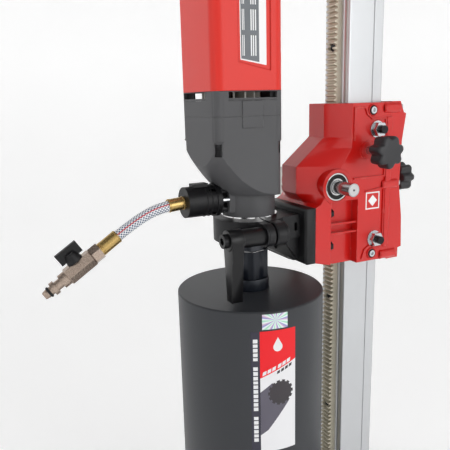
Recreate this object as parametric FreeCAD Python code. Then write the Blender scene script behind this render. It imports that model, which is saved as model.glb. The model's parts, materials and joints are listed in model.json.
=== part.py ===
import FreeCAD, Part
import math
import os

# Core drill rig: a rack-and-pinion stand, a carriage with a hand-cranked feed, and a water-fed
# drill motor that turns a diamond core bit. Millimetres, +Z up, -Y towards the drill.
# The origin is on the floor, on the axis of the column.

V = FreeCAD.Vector

# ---------------------------------------------------------------- clearances
RUN = 0.05                # radial clearance of a shaft in its bearing or bush
GAP = 0.3                 # between faces that slide or turn past each other
SLIDE_GAP = 0.3           # guide pad to column

# ---------------------------------------------------------------- stand
BASE_X = 110.0            # half width of the base plate
BASE_FRONT = -56.0
BASE_BACK = 250.0
BASE_T = 14.0
BASE_RIB = 12.0           # height of the stiffening rim above the plate
BASE_RIM = 9.0            # width of that rim
SLOT_R = 7.5              # half width of an anchor slot
SLOT_LENGTH = 60.0        # end to end
SLOT_SPACING = 85.0
SLOT_Y = 138.0            # middle of the pair
LEVEL_R = 5.0             # levelling screws
LEVEL_INSET = 20.0
LEVEL_TOP = 48.0

COLUMN_X = 48.0
COLUMN_Y = 54.0
COLUMN_WALL = 5.0
COLUMN_TOP = 1000.0
GROOVE_R = 4.0            # half-round channel beside the rack
GROOVE_X = 15.5
SIDE_LINE_Y = 11.0
SIDE_LINE = 1.6
CAP_T = 8.0

FOOT_WALL = 13.0
FOOT_TOP = 130.0
FLANGE_X = 72.0
FLANGE_FRONT = -50.0
FLANGE_BACK = 62.0
FLANGE_T = 14.0
FOOT_RIB_T = 8.0
FOOT_BOLT_R = 5.0
FOOT_BOLT_INSET = 13.0
BRACE_T = 6.0
BRACE_W = 24.0
BRACE_TOP_Y = 20.0
BRACE_TOP_Z = 108.0
BRACE_FOOT_Y = 214.0
BRACE_FOOT_Z = 34.0

# ---------------------------------------------------------------- feed gear
RACK_MODULE = 2.0
RACK_X = 9.0              # half width
RACK_BASE = 6.0           # from the column's face to the tooth roots
RACK_BOTTOM = 140.0
RACK_TOP = 985.0
RACK_SCREW_FIRST = 272.0
RACK_SCREW_PITCH = 163.0
RACK_SCREWS = 5
RACK_SCREW_R = 3.0
RACK_HEAD_R = 5.0
RACK_HEAD_T = 3.2
PINION_TEETH = 22
PINION_Z = 593.3
FEED_BACKLASH = 0.5
SHAFT_R = 8.5             # feed shaft in its bearings
SHAFT_END_R = 8.0         # bare ends that take the crank
SHAFT_RIGHT = 77.0
SHAFT_LEFT = -80.0
BEARING_R = 17.5
BEARING_W = 10.0
CRANK_R = 118.0           # hub to grip
CRANK_ANGLE = 11.0        # from straight down, towards the column
CRANK_HUB_R = 14.0
CRANK_HUB_IN = -57.0
CRANK_BAR_T = 9.0
GRIP_R = 12.0
GRIP_LENGTH = 84.0

# ---------------------------------------------------------------- carriage
CAR_X = 45.6              # half width
CAR_SEAM = 25.0           # front casting meets rear cover
CAR_BOTTOM = 492.0
CAR_TOP = 693.0
PLATE_FACE = -89.0        # the motor plate bolts on here
PLATE_T = 15.0
PLATE_BOTTOM = 500.7
PLATE_TOP = 570.0
NOSE_X = 16.0             # half width of the flat nose
PAD_T = 5.7               # side guide pads
PAD_FRONT_T = 2.7
PAD_TOP_Z = 660.6
PAD_LOW_Z = 521.2
PAD_Y = 1.5
PAD_H = 24.0
RECESS_X = 33.5
RECESS_BACK = -25.0
RECESS_RIB_Z = (546.0, 534.0)
RECESS_RIB_T = 2.4
RECESS_FRONT = -66.0
RECESS_TOP = 575.0
LUG_R = 7.0
LUG_X = 40.0
LUG_Z = (686.0, 590.0, 497.0)
LUG_FRONT = 12.0
LUG_BACK = 39.0
STUD_R = 5.0
KNOB_Y = -13.0
KNOB_Z = 635.6
KNOB_IN = 70.0
KNOB_T = 20.0
KNOB_R = 15.5
KNOB_LOBES = 7
LOBE_R = 4.6
REAR_KNOB_IN = 76.0
PLATE_BOLT_R = 4.0
PLATE_BOLT_X = 39.0
PLATE_BOLT_Z = (518.0, 560.0)

# ---------------------------------------------------------------- motor bracket and its clamp
NECK_R = 30.0
COLLAR_R = 44.0
ARM_REACH = 8.5           # from the plate's front to the collar
SPINDLE_Y = PLATE_FACE - PLATE_T - ARM_REACH - COLLAR_R   # the drill's axis
COLLAR_BOTTOM = 534.0
COLLAR_TOP = 562.0
ARM_X = 34.0
ARM_SLOT_Z = (543.0, 553.0)   # slot across the arm, behind the collar
WEB_TIP_Y = SPINDLE_Y + 28.5
WEB_BOTTOM = 506.0
WEB_X = 26.0
WEB_T = 8.0
CLAMP_X = COLLAR_R + 9.5
CLAMP_Z = 548.0
CLAMP_BOLT_R = 5.0
BARREL_R = 13.5
BARREL_FRONT = SPINDLE_Y - 11.5
BARREL_BACK = SPINDLE_Y + 16.5
SLIT = 3.0
LEVER_R = 12.0
LEVER_FRONT = SPINDLE_Y - 57.5
LEVER_SHOULDER = SPINDLE_Y - 40.5
LEVER_NECK_R = 10.8
LEVER_END_Z = 476.0
LEVER_END_X = 6.0         # half width of the lever's tip

# ---------------------------------------------------------------- gearbox and motor
BOX_X = 47.0              # half width of the gearbox
BOX_FRONT = SPINDLE_Y - 63.5
BOX_BACK = SPINDLE_Y + 21.5
BOX_CORNER = 11.0
BOX_WALL = 5.0
BOX_BOTTOM = 592.0
BOX_SEAM = 682.6
COVER_BOTTOM = 710.0      # lower edge of the red motor cover
COVER_TOP = 880.0
COVER_PROUD = 1.0         # the motor cover overhangs the gearbox by this
CAP_TOP = 904.0
TOP_BEARING_Z = 846.0
HANGER_R = 15.0
SWITCH_Y = SPINDLE_Y - 45.5
SWITCH_HALF = 9.0         # half the switch's opening
SWITCH_DEPTH = 11.0
GLAND_Y = SPINDLE_Y + 9.5
GLAND_R = 6.0
GLAND_DEPTH = 9.0
SMALL_BEARING_R = 11.0
SMALL_BEARING_W = 8.0
ARMATURE_SHAFT_R = 4.0
MIDDLE_SHAFT_R = 3.0
MIDDLE_SEAT_R = 4.2
MIDDLE_BUSH_R = 5.4
BOWL_Y = SPINDLE_Y + 9.5           # axis of the bowl that rounds the gearbox's underside
BOWL_LOW_R = 45.0
BOWL_MID_R = 67.0
BOWL_HIGH_R = 88.0
BOWL_MID_Z = 617.5
BOWL_HIGH_Z = 655.0
FLOOR_TOP = 613.0         # inner floor, over the bearings
RIDGE_R = 6.2
RIDGE_BOTTOM = 654.0
RIDGE_INSET = 6.7
SCREW_R = 2.5
VENT_BOTTOM = 700.0
VENT_TOP = 709.0
SIDE_VENT_Y = (SPINDLE_Y - 47.5, SPINDLE_Y + 12.5)
FRONT_VENT_X = (-40.0, 22.0)
SIDE_PAD_Y = (SPINDLE_Y - 31.5, SPINDLE_Y - 5.5)
SIDE_PAD_BOTTOM = 670.0
LABEL_Y = (SPINDLE_Y - 35.5, SPINDLE_Y + 4.5)   # the label's recess in the motor cover
LABEL_TOP = 880.5
LABEL_LOW = (740.0, 731.0)                      # its slanted lower edge, front and back
LABEL_DEPTH = 1.5
NECK_BOTTOM = 530.0
NECK_UPPER_R = 32.0
RING_R = 34.5
RING_T = 3.6
MOTOR_Y = SPINDLE_Y - 20.5          # armature axis
STATOR_IN = 26.5
ARMATURE_R = 25.5
STATOR_Z0 = 735.0
STATOR_Z1 = 805.0
COMMUTATOR_R = 14.0
FAN_R = 35.0
FAN_BLADES = 16
BRUSH_Z = 816.0
BRUSH_H = 12.0
BRUSH_HALF = 4.0
BRUSH_OUT = 31.0          # outer end of a brush, from the middle

TRAIN_MODULE = 1.0
TRAIN_PRESSURE = 25.0
TRAIN_BACKLASH = 0.25
TRAIN_ADDENDUM = 0.8
TRAIN_DEDENDUM = 1.0
ARMATURE_TEETH = 10
BIG_TEETH = 34
SMALL_TEETH = 12
OUTPUT_TEETH = 32
SMALL_Z0 = 619.0
SMALL_Z1 = 635.0
BIG_Z0 = 640.0
BIG_Z1 = 648.0

SPINDLE_R = 12.5
SPINDLE_TOP_R = 10.0
SPINDLE_NOSE_R = 17.0
NOSE_BOTTOM = 527.0
SPIGOT_R = 12.0
SPIGOT_LENGTH = 20.0
LOW_BEARING_R = 26.0
LOW_BEARING_Z = 538.0
LOW_BEARING_W = 15.0
HIGH_BEARING_R = 16.0
HIGH_BEARING_Z = 604.0
HIGH_BEARING_W = 8.0
SEAL_R = 20.0
SEAL_T = 6.0
LOW_SEAL_Z = 566.0
HIGH_SEAL_Z = 596.0
WATER_BORE_R = 4.0

# ---------------------------------------------------------------- core bit
BIT_R = 91.0
BIT_WALL = 3.0
BIT_TOP = 470.0
BIT_TOP_T = 8.0
SEGMENT_H = 12.0
SEGMENT_T = 4.0
SEGMENTS = 12
ADAPTER_RING_R = 24.0
ADAPTER_RING_TOP = 485.0
ADAPTER_R = 20.5
ADAPTER_FLATS = 38.0

# ---------------------------------------------------------------- water feed
WATER_Z = 585.9
CONNECTOR_R = 18.0
SCREW_RING_R = 14.0
CONNECTOR_FRONT = SPINDLE_Y - 85.0
CONNECTOR_FLANGE = SPINDLE_Y - 49.5
CONNECTOR_BACK = SPINDLE_Y - 43.5
FLANGE_PROUD = 1.5        # the connector's flange stands out round its barrel by this
CONNECTOR_CAP_Y = (SPINDLE_Y - 75.5, SPINDLE_Y - 56.5)
PAD_FACE = SPINDLE_Y - 34.5         # flat on the neck that the connector screws to
HOSE_R = 6.5
HOSE_BORE_R = 4.0
FERRULE_R = 7.6
HOSE_ROUTE = [(-241.5, 585.9), (-261.4, 584.2), (-280.9, 579.7),
              (-299.0, 571.2), (-321.2, 557.6), (-342.0, 543.8)]
NEAR_FERRULE = 20.0
FAR_FERRULE = 24.0
NUT_FLATS = 17.0
NUT_LENGTH = 11.0
VALVE_R = 8.6
VALVE_LENGTH = 34.0
BALL_R = 6.6
STEM_R = 3.0
LEVER_BLADE = 27.0
LEVER_BLADE_T = 5.0
LEVER_RISE = 27.0
NIPPLE_LENGTH = 31.0
SEAL_RING_R = 1.4
NIPPLE_STEPS = ((8.2, 8.0), (5.5, 7.0), (7.8, 5.0), (5.0, 7.0))   # radius and length, outwards
NIPPLE_NOSE_R = 4.2
NIPPLE_GROOVE = 24.0

# ---------------------------------------------------------------- values worked out from those
PITCH = math.pi * RACK_MODULE
PINION_R = RACK_MODULE * PINION_TEETH / 2
RACK_FACE = -COLUMN_Y / 2
RACK_ROOT = RACK_FACE - RACK_BASE
RACK_PITCH_Y = RACK_ROOT - 1.25 * RACK_MODULE
RACK_TIP = RACK_PITCH_Y - RACK_MODULE
PINION_Y = RACK_PITCH_Y - PINION_R
TRAIN_DISTANCE = TRAIN_MODULE * (SMALL_TEETH + OUTPUT_TEETH) / 2
MIDDLE_Y = (MOTOR_Y + SPINDLE_Y) / 2
MIDDLE_X = math.sqrt(TRAIN_DISTANCE ** 2 - (MOTOR_Y - MIDDLE_Y) ** 2)
PLATE_FRONT = PLATE_FACE - PLATE_T
OUTPUT_TIP_R = TRAIN_MODULE * (OUTPUT_TEETH / 2 + TRAIN_ADDENDUM)
PASSAGE_X = COLUMN_X / 2 + SLIDE_GAP + PAD_T
PASSAGE_Y = COLUMN_Y / 2 + SLIDE_GAP + PAD_FRONT_T
RIDGE_PLACES = [(sx * (BOX_X - RIDGE_INSET), y)
                for sx in (-1, 1) for y in (BOX_FRONT + RIDGE_INSET, BOX_BACK - RIDGE_INSET)]

os.makedirs("parts", exist_ok=True)


# ---------------------------------------------------------------- shapes
def box(x0, x1, y0, y1, z0, z1):
    """Block between two corners."""
    return Part.makeBox(x1 - x0, y1 - y0, z1 - z0, V(x0, y0, z0))


def rod(start, end, radius):
    """Solid cylinder from one point to another."""
    return Part.makeCylinder(radius, (end - start).Length, start, end - start)


def rod_x(x0, x1, y, z, radius):
    """Cylinder along X."""
    return rod(V(x0, y, z), V(x1, y, z), radius)


def rod_y(y0, y1, x, z, radius):
    """Cylinder along Y."""
    return rod(V(x, y0, z), V(x, y1, z), radius)


def rod_z(z0, z1, x, y, radius):
    """Cylinder along Z."""
    return rod(V(x, y, z0), V(x, y, z1), radius)


def prism(points, sweep):
    """Straight prism on a closed outline of points."""
    return Part.Face(Part.makePolygon(list(points) + [points[0]])).extrude(sweep)


def prism_x(outline, x0, x1):
    """Prism along X on an outline of (y, z)."""
    return prism([V(x0, y, z) for y, z in outline], V(x1 - x0, 0, 0))


def prism_y(outline, y0, y1):
    """Prism along Y on an outline of (x, z)."""
    return prism([V(x, y0, z) for x, z in outline], V(0, y1 - y0, 0))


def hex_rod(start, end, flats):
    """Hexagonal bar from one point to another."""
    axis = (end - start).normalize()
    side = axis.cross(V(1, 0, 0) if abs(axis.x) < 0.9 else V(0, 0, 1)).normalize()
    up = axis.cross(side)
    r = flats / math.sqrt(3)
    corners = [start + side * (r * math.cos(math.radians(60 * i)))
               + up * (r * math.sin(math.radians(60 * i))) for i in range(6)]
    return prism(corners, end - start)


def rounded_box(x0, x1, y0, y1, z0, z1, radius):
    """Block with its upright edges rounded."""
    block = box(x0, x1, y0, y1, z0, z1)
    upright = [e for e in block.Edges
               if abs(e.Vertexes[0].X - e.Vertexes[1].X) + abs(e.Vertexes[0].Y - e.Vertexes[1].Y) < 1e-6]
    return block.makeFillet(radius, upright)


def turned(outline, x, y):
    """Solid of revolution on an outline of (radius, z), about an upright axis."""
    points = [V(x + r, y, z) for r, z in outline]
    face = Part.Face(Part.makePolygon(points + [points[0]]))
    return face.revolve(V(x, y, 0), V(0, 0, 1), 360)


def fuse(shapes):
    """One solid from pieces that overlap or meet."""
    whole = shapes[0].fuse(shapes[1:]) if len(shapes) > 1 else shapes[0]
    return whole.removeSplitter()


def cut(shape, tools):
    """A solid less all of the tools."""
    return shape.cut(Part.makeCompound(tools) if len(tools) == 1 else tools[0].fuse(tools[1:]))


def save(name, shapes):
    """Write one node, as one solid or a group of separate solids."""
    group = shapes if isinstance(shapes, list) else [shapes]
    solids = [s for shape in group for s in shape.Solids]
    for s in solids:
        if not s.isValid():
            print("NOT VALID", name)
    whole = solids[0] if len(solids) == 1 else Part.makeCompound(solids)
    whole.exportStep("parts/" + name + ".step")
    print(f"{name}: {len(solids)} solids, {sum(s.Volume for s in solids) / 1000:.1f} cm3")


# ---------------------------------------------------------------- gear teeth
def involute(angle):
    """Involute function of an angle in radians."""
    return math.tan(angle) - angle


def gear_outline(teeth, module, pressure_deg, addendum, dedendum, backlash, phase, steps=5):
    """Closed outline of an external gear as (u, v), with one tooth's middle at the phase angle."""
    pitch_r = module * teeth / 2
    base_r = pitch_r * math.cos(math.radians(pressure_deg))
    tip_r = pitch_r + addendum * module
    root_r = pitch_r - dedendum * module
    half_pitch = (math.pi * module / 2 - backlash) / (2 * pitch_r)
    start_r = max(base_r, root_r)
    flank = []
    for i in range(steps + 1):
        r = start_r + (tip_r - start_r) * i / steps
        half = half_pitch + involute(math.radians(pressure_deg)) - involute(math.acos(min(1, base_r / r)))
        flank.append((r, half))
    if root_r < base_r:
        flank.insert(0, (root_r, flank[0][1]))
    outline = []
    for t in range(teeth):
        middle = phase + 2 * math.pi * t / teeth
        for r, half in flank:
            outline.append((r * math.cos(middle - half), r * math.sin(middle - half)))
        for r, half in reversed(flank):
            outline.append((r * math.cos(middle + half), r * math.sin(middle + half)))
    return outline


def train_gear(teeth, x, y, z0, z1, phase):
    """Gear of the motor's reduction, on an upright axis."""
    outline = gear_outline(teeth, TRAIN_MODULE, TRAIN_PRESSURE, TRAIN_ADDENDUM, TRAIN_DEDENDUM,
                           TRAIN_BACKLASH, phase)
    return prism([V(x + u, y + v, z0) for u, v in outline], V(0, 0, z1 - z0))


# ---------------------------------------------------------------- stand
def base_plate():
    """Base plate with its anchor slots, level holes and column seat."""
    plate = rounded_box(-BASE_X, BASE_X, BASE_FRONT, BASE_BACK, 0, BASE_T + BASE_RIB, 18)
    hollow = rounded_box(-BASE_X + BASE_RIM, BASE_X - BASE_RIM, BASE_FRONT - 20, BASE_BACK - BASE_RIM,
                         BASE_T, BASE_T + BASE_RIB + 1, 12)
    bosses = [rod_z(0, BASE_T + BASE_RIB, x, y, 13) for x, y in level_places()]
    lugs = [box(s * brace_x() - (BRACE_T if s > 0 else 0), s * brace_x() + (0 if s > 0 else BRACE_T),
                BRACE_FOOT_Y - 14, BRACE_FOOT_Y + 14, BASE_T, BRACE_FOOT_Z + 12) for s in (-1, 1)]
    slots = []
    for y in (SLOT_Y - SLOT_SPACING / 2, SLOT_Y + SLOT_SPACING / 2):
        reach = SLOT_LENGTH / 2 - SLOT_R
        slots += [box(-SLOT_R, SLOT_R, y - reach, y + reach, -1, BASE_T + 1),
                  rod_z(-1, BASE_T + 1, 0, y - reach, SLOT_R), rod_z(-1, BASE_T + 1, 0, y + reach, SLOT_R)]
    holes = [rod_z(-1, BASE_T + BASE_RIB + 1, x, y, LEVEL_R) for x, y in level_places()]
    holes += [rod_z(2, BASE_T + 1, x, y, FOOT_BOLT_R) for x, y in foot_bolt_places()]
    holes += [rod_x(-BASE_X, BASE_X, BRACE_FOOT_Y, BRACE_FOOT_Z, FOOT_BOLT_R)]
    save("base_plate", cut(fuse([plate.cut(hollow)] + bosses + lugs), slots + holes))


def level_places():
    """Where the levelling screws stand."""
    return [(sx * (BASE_X - LEVEL_INSET), y) for sx in (-1, 1)
            for y in (BASE_FRONT + LEVEL_INSET, BASE_BACK - LEVEL_INSET)]


def foot_bolt_places():
    """Where the column's foot is bolted down."""
    return [(sx * (FLANGE_X - FOOT_BOLT_INSET), y) for sx in (-1, 1)
            for y in (FLANGE_FRONT + FOOT_BOLT_INSET, FLANGE_BACK - FOOT_BOLT_INSET)]


def brace_x():
    """Inner face of a brace: the side of the column foot."""
    return COLUMN_X / 2 + FOOT_WALL


def levelling_screws():
    """Four levelling screws with their lock nuts."""
    rim = BASE_T + BASE_RIB
    solids = []
    for x, y in level_places():
        screw = fuse([rod_z(1, LEVEL_TOP - 8, x, y, LEVEL_R),
                      hex_rod(V(x, y, LEVEL_TOP - 8), V(x, y, LEVEL_TOP), 17)])
        nut = hex_rod(V(x, y, rim), V(x, y, rim + 8), 17).cut(rod_z(rim - 1, rim + 9, x, y, LEVEL_R))
        solids += [screw, nut]
    save("levelling_screws", solids)


def column():
    """Square hollow column with its grooves."""
    x, y = COLUMN_X / 2, COLUMN_Y / 2
    tube = rounded_box(-x, x, -y, y, BASE_T, COLUMN_TOP, 2)
    bore = rounded_box(-x + COLUMN_WALL, x - COLUMN_WALL, -y + COLUMN_WALL, y - COLUMN_WALL,
                       BASE_T - 1, COLUMN_TOP + 1, 2)
    tools = [bore]
    for s in (-1, 1):
        tools.append(rod_z(BASE_T - 1, COLUMN_TOP + 1, s * GROOVE_X, -y - GROOVE_R / 2, GROOVE_R))
        tools.append(box(s * x - 1, s * x + 1, SIDE_LINE_Y - SIDE_LINE / 2, SIDE_LINE_Y + SIDE_LINE / 2,
                         BASE_T - 1, COLUMN_TOP + 1))
    for i in range(RACK_SCREWS):
        z = RACK_SCREW_FIRST + RACK_SCREW_PITCH * i
        tools.append(rod_y(-y - 1, -y + COLUMN_WALL + 1, 0, z, RACK_SCREW_R))
    save("column", cut(tube, tools))


def column_cap():
    """Cap that closes the column's top."""
    x, y = COLUMN_X / 2, COLUMN_Y / 2
    top = rounded_box(-x - 2, x + 2, -y - 2, y + 2, COLUMN_TOP, COLUMN_TOP + CAP_T, 4)
    inner_x, inner_y = x - COLUMN_WALL - 0.2, y - COLUMN_WALL - 0.2
    plug = rounded_box(-inner_x, inner_x, -inner_y, inner_y, COLUMN_TOP - 14, COLUMN_TOP, 2)
    save("column_cap", fuse([top, plug]))


def column_foot():
    """Foot that holds the column on the base plate."""
    x, y = COLUMN_X / 2, COLUMN_Y / 2
    collar = rounded_box(-x - FOOT_WALL, x + FOOT_WALL, -y - FOOT_WALL, y + FOOT_WALL, BASE_T, FOOT_TOP, 8)
    flange = rounded_box(-FLANGE_X, FLANGE_X, FLANGE_FRONT, FLANGE_BACK, BASE_T, BASE_T + FLANGE_T, 12)
    ribs = []
    for s in (-1, 1):
        rib = [(s * (x + FOOT_WALL - 1), BASE_T + FLANGE_T - 1),
               (s * (FLANGE_X - 4), BASE_T + FLANGE_T - 1),
               (s * (x + FOOT_WALL - 1), FOOT_TOP - 45)]
        ribs.append(prism_y(rib, -FOOT_RIB_T / 2, FOOT_RIB_T / 2))
    tools = [box(-x, x, -y, y, BASE_T - 1, FOOT_TOP + 1)]
    tools += [rod_z(BASE_T - 1, BASE_T + FLANGE_T + 1, bx, by, FOOT_BOLT_R)
              for bx, by in foot_bolt_places()]
    tools += [rod_x(-x - FOOT_WALL - 1, x + FOOT_WALL + 1, BRACE_TOP_Y, BRACE_TOP_Z, FOOT_BOLT_R)]
    save("column_foot", cut(fuse([collar, flange] + ribs), tools))


def brace_struts():
    """Struts from the base plate up to the column."""
    run = BRACE_FOOT_Y - BRACE_TOP_Y
    drop = BRACE_FOOT_Z - BRACE_TOP_Z
    length = math.hypot(run, drop)
    side = (-drop / length * BRACE_W / 2, run / length * BRACE_W / 2)
    outline = [(BRACE_TOP_Y + side[0], BRACE_TOP_Z + side[1]),
               (BRACE_TOP_Y - side[0], BRACE_TOP_Z - side[1]),
               (BRACE_FOOT_Y - side[0], BRACE_FOOT_Z - side[1]),
               (BRACE_FOOT_Y + side[0], BRACE_FOOT_Z + side[1])]
    solids = []
    for s in (-1, 1):
        x0, x1 = sorted((s * brace_x(), s * (brace_x() + BRACE_T)))
        bar = fuse([prism_x(outline, x0, x1), rod_x(x0, x1, BRACE_TOP_Y, BRACE_TOP_Z, BRACE_W / 2),
                    rod_x(x0, x1, BRACE_FOOT_Y, BRACE_FOOT_Z, BRACE_W / 2)])
        solids.append(cut(bar, [rod_x(x0 - 1, x1 + 1, BRACE_TOP_Y, BRACE_TOP_Z, FOOT_BOLT_R),
                                rod_x(x0 - 1, x1 + 1, BRACE_FOOT_Y, BRACE_FOOT_Z, FOOT_BOLT_R)]))
    save("brace_struts", solids)


def stand_bolts():
    """Foot bolts, brace bolts and the screws that hold the rack."""
    solids = []
    top = BASE_T + FLANGE_T
    for x, y in foot_bolt_places():
        solids.append(fuse([rod_z(3, top, x, y, FOOT_BOLT_R), hex_rod(V(x, y, top), V(x, y, top + 7), 17)]))
    out = brace_x() + BRACE_T
    inner = brace_x() - FOOT_WALL + 0.2
    for s in (-1, 1):
        for y, z, start in ((BRACE_TOP_Y, BRACE_TOP_Z, inner),
                            (BRACE_FOOT_Y, BRACE_FOOT_Z, brace_x() - BRACE_T)):
            solids.append(fuse([rod(V(s * start, y, z), V(s * out, y, z), FOOT_BOLT_R),
                                hex_rod(V(s * out, y, z), V(s * (out + 7), y, z), 17)]))
    for i in range(RACK_SCREWS):
        z = RACK_SCREW_FIRST + RACK_SCREW_PITCH * i
        solids.append(fuse([rod_y(RACK_ROOT + GAP, RACK_FACE + COLUMN_WALL, 0, z, RACK_SCREW_R),
                            rod_y(RACK_ROOT + GAP, RACK_ROOT + RACK_HEAD_T, 0, z, RACK_HEAD_R)]))
    save("stand_bolts", solids)


def rack():
    """Toothed rack on the column's front."""
    slope = math.tan(math.radians(20))
    half = PITCH / 4 - FEED_BACKLASH / 4
    first = math.ceil((RACK_BOTTOM + PITCH - PINION_Z) / PITCH - 0.5)
    last = math.floor((RACK_TOP - PITCH - PINION_Z) / PITCH - 0.5)
    outline = [(RACK_FACE, RACK_TOP), (RACK_FACE, RACK_BOTTOM), (RACK_ROOT, RACK_BOTTOM)]
    for k in range(first, last + 1):
        middle = PINION_Z + PITCH * (k + 0.5)
        root_half = half + 1.25 * RACK_MODULE * slope
        tip_half = half - RACK_MODULE * slope
        outline += [(RACK_ROOT, middle - root_half), (RACK_TIP, middle - tip_half),
                    (RACK_TIP, middle + tip_half), (RACK_ROOT, middle + root_half)]
    outline.append((RACK_ROOT, RACK_TOP))
    tools = []
    for i in range(RACK_SCREWS):
        z = RACK_SCREW_FIRST + RACK_SCREW_PITCH * i
        tools += [rod_y(RACK_TIP - 1, RACK_FACE + 1, 0, z, RACK_SCREW_R),
                  rod_y(RACK_TIP - 1, RACK_ROOT + RACK_HEAD_T, 0, z, RACK_HEAD_R)]
    save("rack", cut(prism_x(outline, -RACK_X, RACK_X), tools))


# ---------------------------------------------------------------- carriage
def front_sections():
    """Height, front of the side face and front of the nose, from the bottom up."""
    return [(CAR_BOTTOM, -54.0, -54.0), (PLATE_BOTTOM, PLATE_FACE, PLATE_FACE),
            (PLATE_TOP, PLATE_FACE, PLATE_FACE),
            (573.5, -81.6, -87.0), (585.0, -73.7, -98.0), (618.0, -51.1, -98.0),
            (639.4, -36.5, -72.2), (652.0, -36.0, -57.0), (CAR_TOP, -36.0, -57.0)]


def carriage_tools():
    """What is cut from both castings: the column's passage and the studs."""
    tools = [box(-PASSAGE_X, PASSAGE_X, -PASSAGE_Y, PASSAGE_Y, CAR_BOTTOM - 9, CAR_TOP + 9)]
    for z in LUG_Z:
        for s in (-1, 1):
            tools.append(rod_y(LUG_FRONT - 8, LUG_BACK + 1, s * LUG_X, z, 3))
            tools.append(rod_y(LUG_BACK, LUG_BACK + 20, s * LUG_X, z, 5.4))
    return tools


def carriage_housing():
    """Carriage casting that runs on the column and holds the feed."""
    wires = []
    for z, side, nose in front_sections():
        corners = [V(CAR_X, CAR_SEAM, z), V(CAR_X, side, z), V(NOSE_X, nose, z),
                   V(-NOSE_X, nose, z), V(-CAR_X, side, z), V(-CAR_X, CAR_SEAM, z)]
        wires.append(Part.makePolygon(corners + [corners[0]]))
    body = Part.makeLoft(wires, True, True)
    bosses = [rod_x(-CAR_X - 1, CAR_X + 1, PINION_Y, PINION_Z, BEARING_R + 4.5),
              rod_x(CAR_X - 10, CAR_X + 4, KNOB_Y, KNOB_Z, 11)]
    bosses += [rod_y(LUG_FRONT, CAR_SEAM, s * LUG_X, z, LUG_R) for z in LUG_Z for s in (-1, 1)]
    tools = carriage_tools()
    tools += [box(-RACK_X - 4, RACK_X + 4, RACK_TIP - 3.5, 0, CAR_BOTTOM - 9, CAR_TOP + 9),
              rod_x(-RACK_X - 4, RACK_X + 4, PINION_Y, PINION_Z, PINION_R + RACK_MODULE + 2),
              rod_x(-CAR_X - 9, CAR_X + 9, PINION_Y, PINION_Z, SHAFT_R + 2),
              rod_x(PASSAGE_X - 1, CAR_X + 9, KNOB_Y, KNOB_Z, STUD_R + RUN)]
    for s in (-1, 1):
        inner, outer = sorted((s * RECESS_X, s * (CAR_X + 9)))
        ribs = [box(inner, outer, RECESS_FRONT - 1, RECESS_BACK + 1, z - RECESS_RIB_T / 2, z + RECESS_RIB_T / 2)
                for z in RECESS_RIB_Z]
        tools.append(cut(box(inner, outer, RECESS_FRONT, RECESS_BACK, CAR_BOTTOM - 9, RECESS_TOP),
                         [rib.common(box(-CAR_X + 2, CAR_X - 2, -200, 200, 0, 1000)) for rib in ribs]))
        seat = sorted((s * (CAR_X - BEARING_W), s * (CAR_X + 9)))
        tools.append(rod_x(seat[0], seat[1], PINION_Y, PINION_Z, BEARING_R))
        screw = sorted((s * (PASSAGE_X - 1), s * (CAR_X + 9)))
        for z in (PAD_TOP_Z, PAD_LOW_Z):
            tools.append(rod_x(screw[0], screw[1], PAD_Y, z, STUD_R))
        for z in PLATE_BOLT_Z:
            tools.append(rod_y(PLATE_FACE - 1, RECESS_FRONT + 1, s * PLATE_BOLT_X, z, PLATE_BOLT_R))
    save("carriage_housing", cut(fuse([body] + bosses), tools))


def carriage_rear_cover():
    """Cover that closes the carriage behind the column."""
    outline = [(CAR_SEAM, 694.0), (39.0, 694.0), (45.0, 680.0), (49.0, 678.5), (43.7, 645.0), (41.8, 587.0),
               (47.6, 546.0), (49.5, 504.0), (43.9, 503.0), (43.7, 490.0), (CAR_SEAM, 490.0)]
    body = fuse([prism_x(outline, -CAR_X, CAR_X), rod_y(30, 48, 0, LUG_Z[1], 12)]
                + [rod_y(CAR_SEAM, LUG_BACK, s * LUG_X, z, LUG_R) for z in LUG_Z for s in (-1, 1)])
    tools = carriage_tools() + [rod_y(0, 60, 0, LUG_Z[1], STUD_R + RUN)]
    save("carriage_rear_cover", cut(body, tools))


def guide_pads():
    """Sliding pads between the carriage and the column."""
    half = PAD_H / 2
    x, y = COLUMN_X / 2 + SLIDE_GAP, COLUMN_Y / 2 + SLIDE_GAP
    solids = []
    for s in (-1, 1):
        x0, x1 = sorted((s * x, s * PASSAGE_X))
        for z in (PAD_TOP_Z, PAD_LOW_Z):
            solids.append(box(x0, x1, PAD_Y - 7, PAD_Y + 7, z - half, z + half))
            f0, f1 = sorted((s * (GROOVE_X + GROOVE_R / 2 - 0.4), s * (x - 1)))
            solids.append(box(f0, f1, -PASSAGE_Y, -y, z - half, z + half))
    for z in (PAD_TOP_Z, LUG_Z[1], PAD_LOW_Z):
        solids.append(box(-9, 9, y, PASSAGE_Y, z - half, z + half))
    solids.append(box(x, PASSAGE_X, KNOB_Y - 6, KNOB_Y + 6, KNOB_Z - 6, KNOB_Z + 6))
    save("guide_pads", solids)


def guide_set_screws():
    """Set screws that press the guide pads."""
    solids = [rod_x(*sorted((s * PASSAGE_X, s * (CAR_X + 15))), PAD_Y, z, STUD_R)
              for s in (-1, 1) for z in (PAD_TOP_Z, PAD_LOW_Z)]
    save("guide_set_screws", solids)


def guide_lock_nuts():
    """Washers and lock nuts on the set screws."""
    solids = []
    for s in (-1, 1):
        for z in (PAD_TOP_Z, PAD_LOW_Z):
            face = V(s * CAR_X, PAD_Y, z)
            washer = V(s * (CAR_X + 1.8), PAD_Y, z)
            top = V(s * (CAR_X + 9), PAD_Y, z)
            nut = fuse([rod(face, washer, 10.5), hex_rod(washer, top, 16)])
            solids.append(nut.cut(rod(V(0, PAD_Y, z), V(s * 99, PAD_Y, z), STUD_R)))
    save("guide_lock_nuts", solids)


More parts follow.
